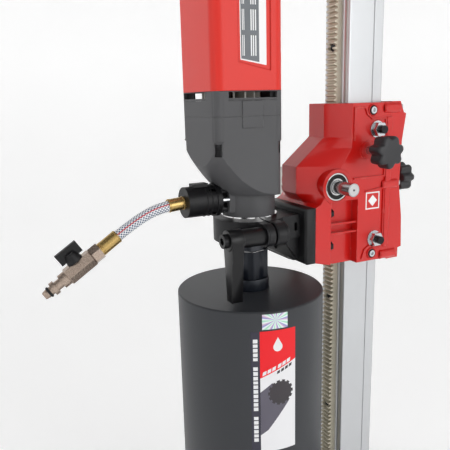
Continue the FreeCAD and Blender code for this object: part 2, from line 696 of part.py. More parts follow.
def carriage_bolts():
    """Bolts that join the rear cover to the carriage."""
    solids = []
    for z in LUG_Z:
        for s in (-1, 1):
            x = s * LUG_X
            solids.append(fuse([rod_y(LUG_FRONT - 6, LUG_BACK, x, z, 3),
                                rod_y(LUG_BACK, LUG_BACK + 5, x, z, 5)]))
    save("carriage_bolts", solids)


def feed_bearings():
    """Ball bearings of the feed shaft."""
    solids = []
    for s in (-1, 1):
        x0, x1 = sorted((s * (CAR_X - BEARING_W), s * CAR_X))
        solids.append(rod_x(x0, x1, PINION_Y, PINION_Z, BEARING_R).cut(
            rod_x(x0 - 1, x1 + 1, PINION_Y, PINION_Z, SHAFT_R + RUN)))
    save("feed_bearings", solids)


def mounting_plate():
    """Plate between the carriage and the motor bracket."""
    plate = box(-CAR_X, CAR_X, PLATE_FRONT, PLATE_FACE, PLATE_BOTTOM, PLATE_TOP)
    edges = [e for e in plate.Edges if all(abs(v.Y - PLATE_FRONT) < 1e-6 for v in e.Vertexes)]
    plate = plate.makeChamfer(2.5, edges)
    tools = [rod_y(PLATE_FRONT + 3, PLATE_FACE + 1, s * PLATE_BOLT_X, z, PLATE_BOLT_R)
             for s in (-1, 1) for z in PLATE_BOLT_Z]
    save("mounting_plate", cut(plate, tools))


def plate_bolts():
    """Bolts that hold the mounting plate."""
    solids = []
    for s in (-1, 1):
        for z in PLATE_BOLT_Z:
            x = s * PLATE_BOLT_X
            solids.append(fuse([rod_y(PLATE_FRONT + 3, RECESS_FRONT, x, z, PLATE_BOLT_R),
                                hex_rod(V(x, RECESS_FRONT, z), V(x, RECESS_FRONT + 5.5, z), 10)]))
    save("plate_bolts", solids)


def motor_bracket():
    """Split collar, arm and webs that hold the drill's neck."""
    collar = rod_z(COLLAR_BOTTOM, COLLAR_TOP, 0, SPINDLE_Y, COLLAR_R)
    arm = box(-ARM_X, ARM_X, SPINDLE_Y + 20, PLATE_FRONT, COLLAR_BOTTOM, COLLAR_TOP)
    lug = box(NECK_R, CLAMP_X, BARREL_FRONT, BARREL_BACK, CLAMP_Z - BARREL_R, CLAMP_Z + BARREL_R)
    barrel = rod_y(BARREL_FRONT, BARREL_BACK, CLAMP_X, CLAMP_Z, BARREL_R)
    webs = [prism_x([(WEB_TIP_Y, COLLAR_BOTTOM + 1), (PLATE_FRONT, COLLAR_BOTTOM + 1),
                     (PLATE_FRONT, WEB_BOTTOM)],
                    s * WEB_X - WEB_T / 2, s * WEB_X + WEB_T / 2) for s in (-1, 1)]
    tools = [rod_z(COLLAR_BOTTOM - 1, COLLAR_TOP + 1, 0, SPINDLE_Y, NECK_R),
             box(NECK_R - 10, CLAMP_X + BARREL_R + 1, SPINDLE_Y - SLIT / 2, SPINDLE_Y + SLIT / 2,
                 COLLAR_BOTTOM - 1, COLLAR_TOP + 1),
             box(-ARM_X - 1, ARM_X + 1, SPINDLE_Y + COLLAR_R + 0.5, PLATE_FRONT - 4, *ARM_SLOT_Z),
             rod_y(BARREL_FRONT - 1, BARREL_BACK + 1, CLAMP_X, CLAMP_Z, CLAMP_BOLT_R + 0.3),
             hex_rod(V(CLAMP_X, BARREL_BACK - 8, CLAMP_Z), V(CLAMP_X, BARREL_BACK + 1, CLAMP_Z), 17)]
    save("motor_bracket", cut(fuse([collar, arm, lug, barrel] + webs), tools))


def clamp_nut():
    """Nut that the clamp bolt screws into."""
    y0, y1 = BARREL_BACK - 8, BARREL_BACK
    nut = hex_rod(V(CLAMP_X, y0, CLAMP_Z), V(CLAMP_X, y1, CLAMP_Z), 17)
    save("clamp_nut", nut.cut(rod_y(y0 - 1, y1 + 1, CLAMP_X, CLAMP_Z, CLAMP_BOLT_R + RUN)))


def clamp_lever():
    """Lever that tightens the collar."""
    hub = rod_y(LEVER_FRONT, LEVER_SHOULDER, CLAMP_X, CLAMP_Z, LEVER_R)
    neck = rod_y(LEVER_SHOULDER, BARREL_FRONT - GAP, CLAMP_X, CLAMP_Z, LEVER_NECK_R)
    arm = prism_y([(CLAMP_X - LEVER_R, CLAMP_Z), (CLAMP_X + LEVER_R, CLAMP_Z),
                   (CLAMP_X + LEVER_END_X, LEVER_END_Z),
                   (CLAMP_X - LEVER_END_X, LEVER_END_Z)], LEVER_FRONT + 1.5, LEVER_SHOULDER - 1.5)
    bore = rod_y(LEVER_FRONT - 1, BARREL_FRONT, CLAMP_X, CLAMP_Z, CLAMP_BOLT_R)
    save("clamp_lever", cut(fuse([hub, neck, arm]), [bore]))


def clamp_bolt():
    """Socket bolt through the lever and the collar's lug."""
    head = rod_y(LEVER_FRONT - 6, LEVER_FRONT, CLAMP_X, CLAMP_Z, 8)
    shank = rod_y(LEVER_FRONT, BARREL_BACK, CLAMP_X, CLAMP_Z, CLAMP_BOLT_R)
    socket = hex_rod(V(CLAMP_X, LEVER_FRONT - 7, CLAMP_Z), V(CLAMP_X, LEVER_FRONT - 2, CLAMP_Z), 8)
    save("clamp_bolt", cut(fuse([head, shank]), [socket]))


# ---------------------------------------------------------------- feed shaft, crank and knobs
def feed_shaft():
    """Feed shaft with its cross hole."""
    inner = CAR_X + 2
    body = fuse([rod_x(-inner, inner, PINION_Y, PINION_Z, SHAFT_R),
                 rod_x(SHAFT_LEFT, SHAFT_RIGHT, PINION_Y, PINION_Z, SHAFT_END_R)])
    cross = rod_z(PINION_Z - 20, PINION_Z + 20, SHAFT_RIGHT - 10, PINION_Y, 2)
    save("feed_shaft", cut(body, [cross]))


def feed_pinion():
    """Pinion that runs on the rack."""
    outline = gear_outline(PINION_TEETH, RACK_MODULE, 20, 1.0, 1.25, FEED_BACKLASH / 2, 0.0)
    solid = prism([V(-RACK_X, PINION_Y + u, PINION_Z + v) for u, v in outline], V(2 * RACK_X, 0, 0))
    save("feed_pinion", solid.cut(rod_x(-RACK_X - 1, RACK_X + 1, PINION_Y, PINION_Z, SHAFT_R)))


def grip_place():
    """Centre of the crank's grip in Y and Z."""
    turn = math.radians(CRANK_ANGLE)
    return PINION_Y + CRANK_R * math.sin(turn), PINION_Z - CRANK_R * math.cos(turn)


def crank_arm():
    """Crank arm on the left end of the feed shaft."""
    y, z = grip_place()
    bar_out = CRANK_HUB_IN - 21
    bar_in = bar_out + CRANK_BAR_T
    hub = rod_x(bar_out, CRANK_HUB_IN, PINION_Y, PINION_Z, CRANK_HUB_R)
    turn = math.radians(CRANK_ANGLE)
    across = (math.cos(turn), math.sin(turn))
    outline = [(PINION_Y - 11 * across[0], PINION_Z - 11 * across[1]),
               (PINION_Y + 11 * across[0], PINION_Z + 11 * across[1]),
               (y + 8 * across[0], z + 8 * across[1]), (y - 8 * across[0], z - 8 * across[1])]
    bar = prism_x(outline, bar_out, bar_in)
    eye = rod_x(bar_out, bar_in, y, z, 10)
    pin = rod_x(bar_out - GRIP_LENGTH - GAP - 2, bar_out, y, z, 4)
    head = rod_x(bar_out - GRIP_LENGTH - GAP - 5, bar_out - GRIP_LENGTH - 2 * GAP, y, z, 7)
    bore = rod_x(SHAFT_LEFT - 9, CRANK_HUB_IN + 1, PINION_Y, PINION_Z, SHAFT_END_R)
    save("crank_arm", cut(fuse([hub, bar, eye, pin, head]), [bore]))


def crank_grip():
    """Grip that spins on the crank's pin."""
    y, z = grip_place()
    right = CRANK_HUB_IN - 21 - GAP
    left = right - GRIP_LENGTH + GAP
    grip = rod_x(left, right, y, z, GRIP_R)
    ends = [e for e in grip.Edges if e.Curve.TypeId == "Part::GeomCircle"]
    grip = grip.makeFillet(3.5, ends)
    save("crank_grip", grip.cut(rod_x(left - 1, right + 1, y, z, 4 + RUN)))


def knob(axis_point, axis, length):
    """Lobed clamping knob whose inner face lies at the axis point."""
    end = axis_point + axis * length
    core = rod(axis_point, end, KNOB_R)
    side = axis.cross(V(0, 0, 1)).normalize()
    lobes = []
    for i in range(KNOB_LOBES):
        turn = 2 * math.pi * i / KNOB_LOBES
        offset = side * (KNOB_R * math.cos(turn)) + V(0, 0, 1) * (KNOB_R * math.sin(turn))
        lobes.append(rod(axis_point + offset, end + offset, LOBE_R))
    neck = rod(axis_point - axis * 8, axis_point, 9)
    return fuse([core, neck] + lobes)


def knobs():
    """Clamping knobs at the side and the rear, with their studs."""
    out = V(1, 0, 0)
    face = V(KNOB_IN, KNOB_Y, KNOB_Z)
    stud = rod_x(PASSAGE_X, KNOB_IN + 6, KNOB_Y, KNOB_Z, STUD_R)
    save("side_knob", knob(face, out, KNOB_T).cut(stud))
    save("side_knob_stud", stud)
    back = V(0, REAR_KNOB_IN, LUG_Z[1])
    rear_stud = rod_y(PASSAGE_Y, REAR_KNOB_IN + 6, 0, LUG_Z[1], STUD_R)
    save("rear_knob", knob(back, V(0, 1, 0), KNOB_T).cut(rear_stud))
    save("rear_knob_stud", rear_stud)


# ---------------------------------------------------------------- gearbox and motor
def block(z0, z1, inset):
    """Rounded square bar with the gearbox's outline, smaller all round by the inset."""
    return rounded_box(-BOX_X + inset, BOX_X - inset, BOX_FRONT + inset, BOX_BACK - inset, z0, z1,
                       max(2.0, BOX_CORNER - inset))


def bowl(inset, z0):
    """Solid that rounds the gearbox's underside, open upwards past its sides."""
    low, mid, high = (V(r - inset, BOWL_Y, z) for r, z in
                      ((BOWL_LOW_R, z0), (BOWL_MID_R, BOWL_MID_Z + inset / 2), (BOWL_HIGH_R, BOWL_HIGH_Z)))
    top = COVER_BOTTOM + 5
    edges = [Part.makeLine(V(0, BOWL_Y, z0), low), Part.Arc(low, mid, high).toShape(),
             Part.makeLine(high, V(150, BOWL_Y, BOWL_HIGH_Z)),
             Part.makeLine(V(150, BOWL_Y, BOWL_HIGH_Z), V(150, BOWL_Y, top)),
             Part.makeLine(V(150, BOWL_Y, top), V(0, BOWL_Y, top)),
             Part.makeLine(V(0, BOWL_Y, top), V(0, BOWL_Y, z0))]
    return Part.Face(Part.Wire(edges)).revolve(V(0, BOWL_Y, 0), V(0, 0, 1), 360)


def gear_housing():
    """Lower gearbox casting with its neck and the connector's seat."""
    shell = block(BOX_BOTTOM, BOX_SEAM, 0).common(bowl(0, BOX_BOTTOM))
    neck = rod_z(NECK_BOTTOM, BOX_BOTTOM + 9, 0, SPINDLE_Y, NECK_R)
    upper = rod_z(COLLAR_TOP + RING_T, BOX_BOTTOM + 9, 0, SPINDLE_Y, NECK_UPPER_R)
    seat = box(-17, 17, PAD_FACE, SPINDLE_Y - 20, WATER_Z - 15, BOX_BOTTOM + 12)
    ridges = [rod_z(RIDGE_BOTTOM, BOX_SEAM, x, y, RIDGE_R) for x, y in RIDGE_PLACES]
    pads = [box(s * BOX_X - 1, s * BOX_X + 1, *SIDE_PAD_Y, SIDE_PAD_BOTTOM, BOX_SEAM) for s in (-1, 1)]
    hollow = block(FLOOR_TOP, BOX_SEAM + 1, BOX_WALL).common(bowl(BOX_WALL + 1, FLOOR_TOP - 12))
    keep = [rod_z(FLOOR_TOP - 1, BOX_SEAM + 1, x, y, RIDGE_R) for x, y in RIDGE_PLACES]
    tools = [cut(hollow, keep)]
    tools += [rod_z(NECK_BOTTOM - 1, LOW_BEARING_Z + LOW_BEARING_W + 4, 0, SPINDLE_Y, LOW_BEARING_R),
              rod_z(NECK_BOTTOM, HIGH_SEAL_Z + SEAL_T, 0, SPINDLE_Y, SEAL_R),
              rod_z(HIGH_SEAL_Z, HIGH_BEARING_Z + HIGH_BEARING_W, 0, SPINDLE_Y, HIGH_BEARING_R),
              rod_z(HIGH_BEARING_Z, FLOOR_TOP + 1, 0, SPINDLE_Y, HIGH_BEARING_R - 2),
              rod_z(HIGH_BEARING_Z, FLOOR_TOP + 1, MIDDLE_X, MIDDLE_Y, MIDDLE_BUSH_R),
              rod_y(PAD_FACE - 1, SPINDLE_Y, 0, WATER_Z, WATER_BORE_R)]
    tools += [rod_y(BOX_FRONT - 9, PAD_FACE, 0, WATER_Z, CONNECTOR_R + FLANGE_PROUD + GAP),
              rod_z(FLOOR_TOP, SMALL_Z1 + 2, 0, SPINDLE_Y, OUTPUT_TIP_R + 2 * GAP)]
    tools += [rod_y(PAD_FACE - 1, PAD_FACE + 7, x, z, SCREW_R) for x, z in connector_screw_places()]
    tools += [rod_z(RIDGE_BOTTOM - 1, BOX_SEAM + 1, x, y, SCREW_R) for x, y in RIDGE_PLACES]
    tools += [rod_z(RIDGE_BOTTOM - 14, RIDGE_BOTTOM, x, y, 5.6) for x, y in RIDGE_PLACES]
    save("gear_housing", cut(fuse([shell, neck, upper, seat] + ridges + pads), tools))


def gearbox_cover():
    """Upper gearbox casting with the air slots."""
    wall = block(BOX_SEAM, COVER_BOTTOM, 0).cut(block(BOX_SEAM + 10, COVER_BOTTOM + 1, BOX_WALL))
    ridges = [rod_z(BOX_SEAM, COVER_BOTTOM, x, y, RIDGE_R) for x, y in RIDGE_PLACES]
    pads = [box(s * BOX_X - 1, s * BOX_X + 1, *SIDE_PAD_Y, BOX_SEAM, VENT_BOTTOM - 1) for s in (-1, 1)]
    tools = [box(s * BOX_X - 9, s * BOX_X + 9, *SIDE_VENT_Y, VENT_BOTTOM, VENT_TOP) for s in (-1, 1)]
    tools += [box(*FRONT_VENT_X, BOX_FRONT - 9, BOX_FRONT + 9, VENT_BOTTOM, VENT_TOP),
              rod_z(BOX_SEAM - 1, BOX_SEAM + 11, 0, MOTOR_Y, SMALL_BEARING_R),
              rod_z(BOX_SEAM - 1, BOX_SEAM + SMALL_BEARING_W, MIDDLE_X, MIDDLE_Y, MIDDLE_BUSH_R)]
    tools += [rod_z(BOX_SEAM - 1, COVER_BOTTOM + 1, x, y, SCREW_R) for x, y in RIDGE_PLACES]
    save("gearbox_cover", cut(fuse([wall] + ridges + pads), tools))


def motor_cover():
    """Square motor cover with the labels' recesses."""
    outer = block(COVER_BOTTOM, COVER_TOP, -COVER_PROUD)
    inner = block(COVER_BOTTOM - 1, COVER_TOP + 1, BOX_WALL - 1)
    bosses = [rod_z(COVER_BOTTOM, COVER_BOTTOM + 40, x, y, RIDGE_R) for x, y in RIDGE_PLACES]
    bosses += [rod_z(COVER_TOP - 30, COVER_TOP, x, y, RIDGE_R) for x, y in RIDGE_PLACES]
    label = [(LABEL_Y[0], LABEL_TOP), (LABEL_Y[0], LABEL_LOW[0]), (LABEL_Y[1], LABEL_LOW[1]),
             (LABEL_Y[1], LABEL_TOP)]
    tools = [prism_x(label, *sorted((s * (BOX_X + COVER_PROUD - LABEL_DEPTH), s * (BOX_X + 9))))
             for s in (-1, 1)]
    tools += [rod_z(COVER_BOTTOM - 1, COVER_BOTTOM + 26, x, y, SCREW_R) for x, y in RIDGE_PLACES]
    tools += [rod_z(COVER_TOP - 20, COVER_TOP + 1, x, y, SCREW_R) for x, y in RIDGE_PLACES]
    save("motor_cover", cut(fuse([outer.cut(inner)] + bosses), tools))


def motor_end_cap():
    """End cap with the armature's top bearing, the switch's well and the gland's boss."""
    cap = block(COVER_TOP, CAP_TOP, -COVER_PROUD)
    top = [e for e in cap.Edges if all(abs(v.Z - CAP_TOP) < 1e-6 for v in e.Vertexes)]
    cap = cap.makeFillet(7, top)
    hollow = block(COVER_TOP - 1, CAP_TOP - 5, BOX_WALL)
    keep = [rod_z(COVER_TOP, CAP_TOP, x, y, RIDGE_R) for x, y in RIDGE_PLACES]
    hanger = rod_z(TOP_BEARING_Z - 4, CAP_TOP - 4, 0, MOTOR_Y, HANGER_R)
    bridge = box(-BOX_X + BOX_WALL, BOX_X - BOX_WALL, MOTOR_Y - 5, MOTOR_Y + 5, COVER_TOP, CAP_TOP - 4)
    vents = [box(s * BOX_X - 9, s * BOX_X + 9, MOTOR_Y - 24 + 12 * i, MOTOR_Y - 18 + 12 * i,
                 COVER_TOP + 5, COVER_TOP + 14)
             for i in range(4) for s in (-1, 1)]
    seat_top = TOP_BEARING_Z + SMALL_BEARING_W
    tools = vents + [rod_z(TOP_BEARING_Z - 5, seat_top, 0, MOTOR_Y, SMALL_BEARING_R),
                     rod_z(seat_top, seat_top + 10, 0, MOTOR_Y, ARMATURE_SHAFT_R + 4),
                     box(-SWITCH_HALF, SWITCH_HALF, SWITCH_Y - SWITCH_HALF, SWITCH_Y + SWITCH_HALF,
                         CAP_TOP - SWITCH_DEPTH, CAP_TOP + 1),
                     rod_z(CAP_TOP - GLAND_DEPTH, CAP_TOP + 1, 0, GLAND_Y, GLAND_R)]
    tools += [rod_z(COVER_TOP - 1, CAP_TOP + 1, x, y, SCREW_R) for x, y in RIDGE_PLACES]
    reach = SWITCH_HALF + 3
    well = box(-reach, reach, SWITCH_Y - reach, SWITCH_Y + reach, CAP_TOP - SWITCH_DEPTH - 4, CAP_TOP - 4)
    boss = rod_z(CAP_TOP - GLAND_DEPTH - 3, CAP_TOP - 4, 0, GLAND_Y, GLAND_R + 4)
    save("motor_end_cap", cut(fuse([cap.cut(cut(hollow, keep)), hanger, bridge, well, boss]), tools))


def power_switch():
    """Rocker switch in the end cap."""
    front, back = SWITCH_Y - SWITCH_HALF + 1.5, SWITCH_Y + SWITCH_HALF - 1.5
    half = SWITCH_HALF - GAP
    rocker = prism_x([(front, CAP_TOP - 4), (SWITCH_Y, CAP_TOP - 9), (back, CAP_TOP - 4),
                      (back, CAP_TOP + 1.5), (SWITCH_Y, CAP_TOP - 0.5), (front, CAP_TOP + 3.0)], -half, half)
    save("power_switch", rocker)


def cable_gland():
    """Gland where the cable leaves the end cap."""
    nut_top = CAP_TOP + 5
    body = fuse([rod_z(CAP_TOP - GLAND_DEPTH, CAP_TOP, 0, GLAND_Y, GLAND_R),
                 hex_rod(V(0, GLAND_Y, CAP_TOP), V(0, GLAND_Y, nut_top), 17),
                 rod_z(nut_top, nut_top + 10, 0, GLAND_Y, GLAND_R + 1.5)])
    save("cable_gland", body.cut(rod_z(CAP_TOP - GLAND_DEPTH + 1, nut_top + 11, 0, GLAND_Y, 4.2)))


def connector_screw_places():
    """X and Z of the water connector's screws."""
    return [(SCREW_RING_R * math.cos(math.radians(a)), WATER_Z + SCREW_RING_R * math.sin(math.radians(a)))
            for a in (50, -50, 180)]


def housing_screws():
    """Long corner screws of the gearbox, end cap screws and the water connector's screws."""
    solids = []
    for x, y in RIDGE_PLACES:
        solids.append(fuse([rod_z(RIDGE_BOTTOM, COVER_BOTTOM + 25, x, y, SCREW_R),
                            rod_z(RIDGE_BOTTOM - 5, RIDGE_BOTTOM, x, y, 4.5)]))
        solids.append(fuse([rod_z(COVER_TOP - 19, CAP_TOP, x, y, SCREW_R),
                            rod_z(CAP_TOP, CAP_TOP + 3, x, y, 4.5)]))
    for x, z in connector_screw_places():
        solids.append(fuse([rod_y(CONNECTOR_FLANGE, PAD_FACE + 6, x, z, SCREW_R),
                            rod_y(CONNECTOR_FLANGE - 4, CONNECTOR_FLANGE, x, z, 4)]))
    save("housing_screws", solids)


def stator():
    """Stator's laminated ring."""
    half = (BOX_BACK - BOX_FRONT) / 2 - BOX_WALL + COVER_PROUD - 0.1
    ring = rod_z(STATOR_Z0, STATOR_Z1, 0, (BOX_FRONT + BOX_BACK) / 2, half)
    save("stator", ring.cut(rod_z(STATOR_Z0 - 1, STATOR_Z1 + 1, 0, MOTOR_Y, STATOR_IN)))


def carbon_brushes():
    """Carbon brushes in their holders."""
    solids = []
    for s in (-1, 1):
        x0, x1 = sorted((s * (COMMUTATOR_R + GAP), s * BRUSH_OUT))
        solids.append(box(x0, x1, MOTOR_Y - BRUSH_HALF, MOTOR_Y + BRUSH_HALF, BRUSH_Z, BRUSH_Z + BRUSH_H))
        h0, h1 = sorted((s * (COMMUTATOR_R + 4), s * (BOX_X - BOX_WALL + COVER_PROUD - 0.1)))
        holder = box(h0, h1, MOTOR_Y - BRUSH_HALF - 2, MOTOR_Y + BRUSH_HALF + 2, BRUSH_Z - 2,
                     BRUSH_Z + BRUSH_H + 2)
        solids.append(holder.cut(box(-BRUSH_OUT, BRUSH_OUT, MOTOR_Y - BRUSH_HALF, MOTOR_Y + BRUSH_HALF,
                                     BRUSH_Z, BRUSH_Z + BRUSH_H)))
    save("carbon_brushes", solids)


def ring_z(z0, z1, x, y, outer, inner):
    """Plain ring on an upright axis."""
    return rod_z(z0, z1, x, y, outer).cut(rod_z(z0 - 1, z1 + 1, x, y, inner))


def gearbox_bearings():
    """Ball bearings and bushes of the spindle, the middle shaft and the armature."""
    save("gearbox_bearings", [
        ring_z(LOW_BEARING_Z, LOW_BEARING_Z + LOW_BEARING_W, 0, SPINDLE_Y, LOW_BEARING_R, SPINDLE_R + RUN),
        ring_z(HIGH_BEARING_Z, HIGH_BEARING_Z + HIGH_BEARING_W, 0, SPINDLE_Y, HIGH_BEARING_R,
               SPINDLE_TOP_R + RUN),
        ring_z(HIGH_BEARING_Z, FLOOR_TOP, MIDDLE_X, MIDDLE_Y, MIDDLE_BUSH_R, MIDDLE_SHAFT_R + RUN),
        ring_z(BOX_SEAM, BOX_SEAM + SMALL_BEARING_W, MIDDLE_X, MIDDLE_Y, MIDDLE_BUSH_R,
               MIDDLE_SHAFT_R + RUN),
        ring_z(BOX_SEAM + 1, BOX_SEAM + 1 + SMALL_BEARING_W, 0, MOTOR_Y, SMALL_BEARING_R,
               ARMATURE_SHAFT_R + RUN),
        ring_z(TOP_BEARING_Z, TOP_BEARING_Z + SMALL_BEARING_W, 0, MOTOR_Y, SMALL_BEARING_R,
               ARMATURE_SHAFT_R + RUN)])


def spindle_seals():
    """Shaft seals above and below the water channel."""
    save("spindle_seals", [ring_z(z, z + SEAL_T, 0, SPINDLE_Y, SEAL_R, SPINDLE_R + RUN)
                           for z in (LOW_SEAL_Z, HIGH_SEAL_Z)])


def neck_ring():
    """Ring between the collar and the gearbox."""
    save("neck_ring", ring_z(COLLAR_TOP, COLLAR_TOP + RING_T, 0, SPINDLE_Y, RING_R, NECK_R))


def armature():
    """Armature's shaft, core, commutator and cooling fan."""
    pinion_phase = math.atan2(MIDDLE_Y - MOTOR_Y, MIDDLE_X)
    shaft = fuse([rod_z(BIG_Z0 - 2, TOP_BEARING_Z + SMALL_BEARING_W + 8, 0, MOTOR_Y, ARMATURE_SHAFT_R),
                  train_gear(ARMATURE_TEETH, 0, MOTOR_Y, BIG_Z0 - 1, BIG_Z1 + 1, pinion_phase)])
    save("armature_shaft", shaft)
    core = ring_z(STATOR_Z0 + 2, STATOR_Z1 - 2, 0, MOTOR_Y, ARMATURE_R, ARMATURE_SHAFT_R)
    commutator = ring_z(BRUSH_Z - 4, BRUSH_Z + BRUSH_H + 4, 0, MOTOR_Y, COMMUTATOR_R, ARMATURE_SHAFT_R)
    save("armature_core", [core, commutator])
    fan = [ring_z(VENT_BOTTOM - 4, VENT_BOTTOM - 2, 0, MOTOR_Y, FAN_R, ARMATURE_SHAFT_R),
           ring_z(VENT_BOTTOM - 3, VENT_TOP, 0, MOTOR_Y, 9, ARMATURE_SHAFT_R)]
    for i in range(FAN_BLADES):
        blade = box(8, FAN_R - 1, -1, 1, VENT_BOTTOM - 3, VENT_TOP)
        blade.translate(V(0, MOTOR_Y, 0))
        blade.rotate(V(0, MOTOR_Y, 0), V(0, 0, 1), 360.0 / FAN_BLADES * i)
        fan.append(blade)
    save("cooling_fan", fuse(fan))


def middle_shaft():
    """Intermediate shaft and its gear."""
    to_motor = math.atan2(MOTOR_Y - MIDDLE_Y, -MIDDLE_X)
    to_spindle = math.atan2(SPINDLE_Y - MIDDLE_Y, -MIDDLE_X)
    shaft = fuse([rod_z(HIGH_BEARING_Z + 0.5, BOX_SEAM + SMALL_BEARING_W - 0.5, MIDDLE_X, MIDDLE_Y,
                        MIDDLE_SHAFT_R),
                  rod_z(SMALL_Z0 - 2, BIG_Z1 + 2, MIDDLE_X, MIDDLE_Y, MIDDLE_SEAT_R),
                  train_gear(SMALL_TEETH, MIDDLE_X, MIDDLE_Y, SMALL_Z0, SMALL_Z1, to_spindle)])
    save("intermediate_shaft", shaft)
    big = train_gear(BIG_TEETH, MIDDLE_X, MIDDLE_Y, BIG_Z0, BIG_Z1, to_motor + math.pi / BIG_TEETH)
    save("intermediate_gear", big.cut(rod_z(BIG_Z0 - 1, BIG_Z1 + 1, MIDDLE_X, MIDDLE_Y, MIDDLE_SEAT_R)))


def spindle():
    """Drill spindle with its water channel, and the output gear."""
    to_middle = math.atan2(MIDDLE_Y - SPINDLE_Y, MIDDLE_X)
    outline = [(0, NOSE_BOTTOM - SPIGOT_LENGTH), (SPIGOT_R, NOSE_BOTTOM - SPIGOT_LENGTH),
               (SPIGOT_R, NOSE_BOTTOM),
               (SPINDLE_NOSE_R, NOSE_BOTTOM), (SPINDLE_NOSE_R, LOW_BEARING_Z - 1),
               (SPINDLE_R, LOW_BEARING_Z - 1),
               (SPINDLE_R, HIGH_BEARING_Z - 1), (SPINDLE_TOP_R, HIGH_BEARING_Z - 1),
               (SPINDLE_TOP_R, SMALL_Z1 + 2),
               (0, SMALL_Z1 + 2)]
    body = turned(outline, 0, SPINDLE_Y)
    tools = [rod_z(NOSE_BOTTOM - SPIGOT_LENGTH - 1, WATER_Z + 4, 0, SPINDLE_Y, WATER_BORE_R),
             rod_x(-20, 20, SPINDLE_Y, WATER_Z, 3)]
    save("spindle", cut(body, tools))
    gear = train_gear(OUTPUT_TEETH, 0, SPINDLE_Y, SMALL_Z0 + 1, SMALL_Z1 - 1,
                      to_middle + math.pi / OUTPUT_TEETH)
    save("output_gear", gear.cut(rod_z(SMALL_Z0, SMALL_Z1, 0, SPINDLE_Y, SPINDLE_TOP_R)))


def core_bit():
    """Core bit's tube and crown segments."""
    outline = [(SPIGOT_R + 2, BIT_TOP - BIT_TOP_T), (BIT_R - BIT_WALL, BIT_TOP - BIT_TOP_T),
               (BIT_R - BIT_WALL, SEGMENT_H),
               (BIT_R, SEGMENT_H), (BIT_R, BIT_TOP - 1.5), (BIT_R - 1.5, BIT_TOP), (SPIGOT_R + 2, BIT_TOP)]
    save("core_bit", turned(outline, 0, SPINDLE_Y))
    ring = ring_z(0, SEGMENT_H, 0, SPINDLE_Y, BIT_R + 0.5, BIT_R + 0.5 - SEGMENT_T)
    gaps = []
    for i in range(SEGMENTS // 2):
        slot = box(-BIT_R - 9, BIT_R + 9, -5, 5, -1, SEGMENT_H + 1)
        slot.translate(V(0, SPINDLE_Y, 0))
        slot.rotate(V(0, SPINDLE_Y, 0), V(0, 0, 1), 360.0 / SEGMENTS * i)
        gaps.append(slot)
    save("bit_segments", cut(ring, gaps))


def bit_adapter():
    """Adapter between the spindle and the core bit."""
    ring = rod_z(BIT_TOP, ADAPTER_RING_TOP, 0, SPINDLE_Y, ADAPTER_RING_R)
    stem = hex_rod(V(0, SPINDLE_Y, ADAPTER_RING_TOP - 1), V(0, SPINDLE_Y, NOSE_BOTTOM),
                   ADAPTER_FLATS).common(
        rod_z(ADAPTER_RING_TOP - 1, NOSE_BOTTOM, 0, SPINDLE_Y, ADAPTER_R))
    spigot = rod_z(BIT_TOP - BIT_TOP_T, BIT_TOP, 0, SPINDLE_Y, SPIGOT_R + 2)
    bores = [rod_z(NOSE_BOTTOM - SPIGOT_LENGTH, NOSE_BOTTOM + 1, 0, SPINDLE_Y, SPIGOT_R),
             rod_z(BIT_TOP - BIT_TOP_T - 1, NOSE_BOTTOM, 0, SPINDLE_Y, WATER_BORE_R + 2)]
    save("bit_adapter", cut(fuse([ring, stem, spigot]), bores))


# ---------------------------------------------------------------- water feed
def water_connector():
    """Connector on the neck that lets the water into the spindle."""
    body = fuse([rod_y(CONNECTOR_FRONT, CONNECTOR_FLANGE, 0, WATER_Z, CONNECTOR_R),
                 rod_y(CONNECTOR_FLANGE, CONNECTOR_BACK, 0, WATER_Z, CONNECTOR_R + FLANGE_PROUD),
                 rod_y(CONNECTOR_BACK, PAD_FACE, 0, WATER_Z, 11),
                 box(-6, 6, *CONNECTOR_CAP_Y, WATER_Z + 14, WATER_Z + CONNECTOR_R + 3)]
                + [rod_y(CONNECTOR_FLANGE, PAD_FACE, x, z, 4.2) for x, z in connector_screw_places()])
    heads = [rod_y(CONNECTOR_FLANGE - 9, CONNECTOR_FLANGE, x, z, 4.4) for x, z in connector_screw_places()]
    holes = [rod_y(CONNECTOR_FLANGE - 1, PAD_FACE + 1, x, z, SCREW_R) for x, z in connector_screw_places()]
    bore = rod_y(CONNECTOR_FRONT - 1, PAD_FACE + 1, 0, WATER_Z, WATER_BORE_R)
    save("water_connector", cut(body, heads + holes + [bore]))


def route_path():
    """Centre line of the hose: straight runs joined by arcs as large as the runs allow."""
    points = [V(0, y, z) for y, z in HOSE_ROUTE]
    edges, radii = [], []
    start = points[0]
    for before, corner, after in zip(points, points[1:], points[2:]):
        d1, d2 = (corner - before), (after - corner)
        reach = 0.45 * min(d1.Length, d2.Length)
        d1.normalize()
        d2.normalize()
        turn = d1.getAngle(d2)
        radius = reach / math.tan(turn / 2)
        radii.append(round(radius, 1))
        inward = (d2 - d1).normalize()
        centre = corner + inward * (radius / math.cos(turn / 2))
        a, b = corner - d1 * reach, corner + d2 * reach
        edges += [Part.makeLine(start, a), Part.Arc(a, centre - inward * radius, b).toShape()]
        start = b
    edges.append(Part.makeLine(start, points[-1]))
    print("hose bend radii:", radii)
    return Part.Wire(edges)


def hose_axis(near):
    """End point of the hose and the direction that it leaves the ferrule's mouth."""
    ends = HOSE_ROUTE[:2] if near else HOSE_ROUTE[:-3:-1]
    point = V(0, *ends[0])
    return point, (V(0, *ends[1]) - point).normalize()


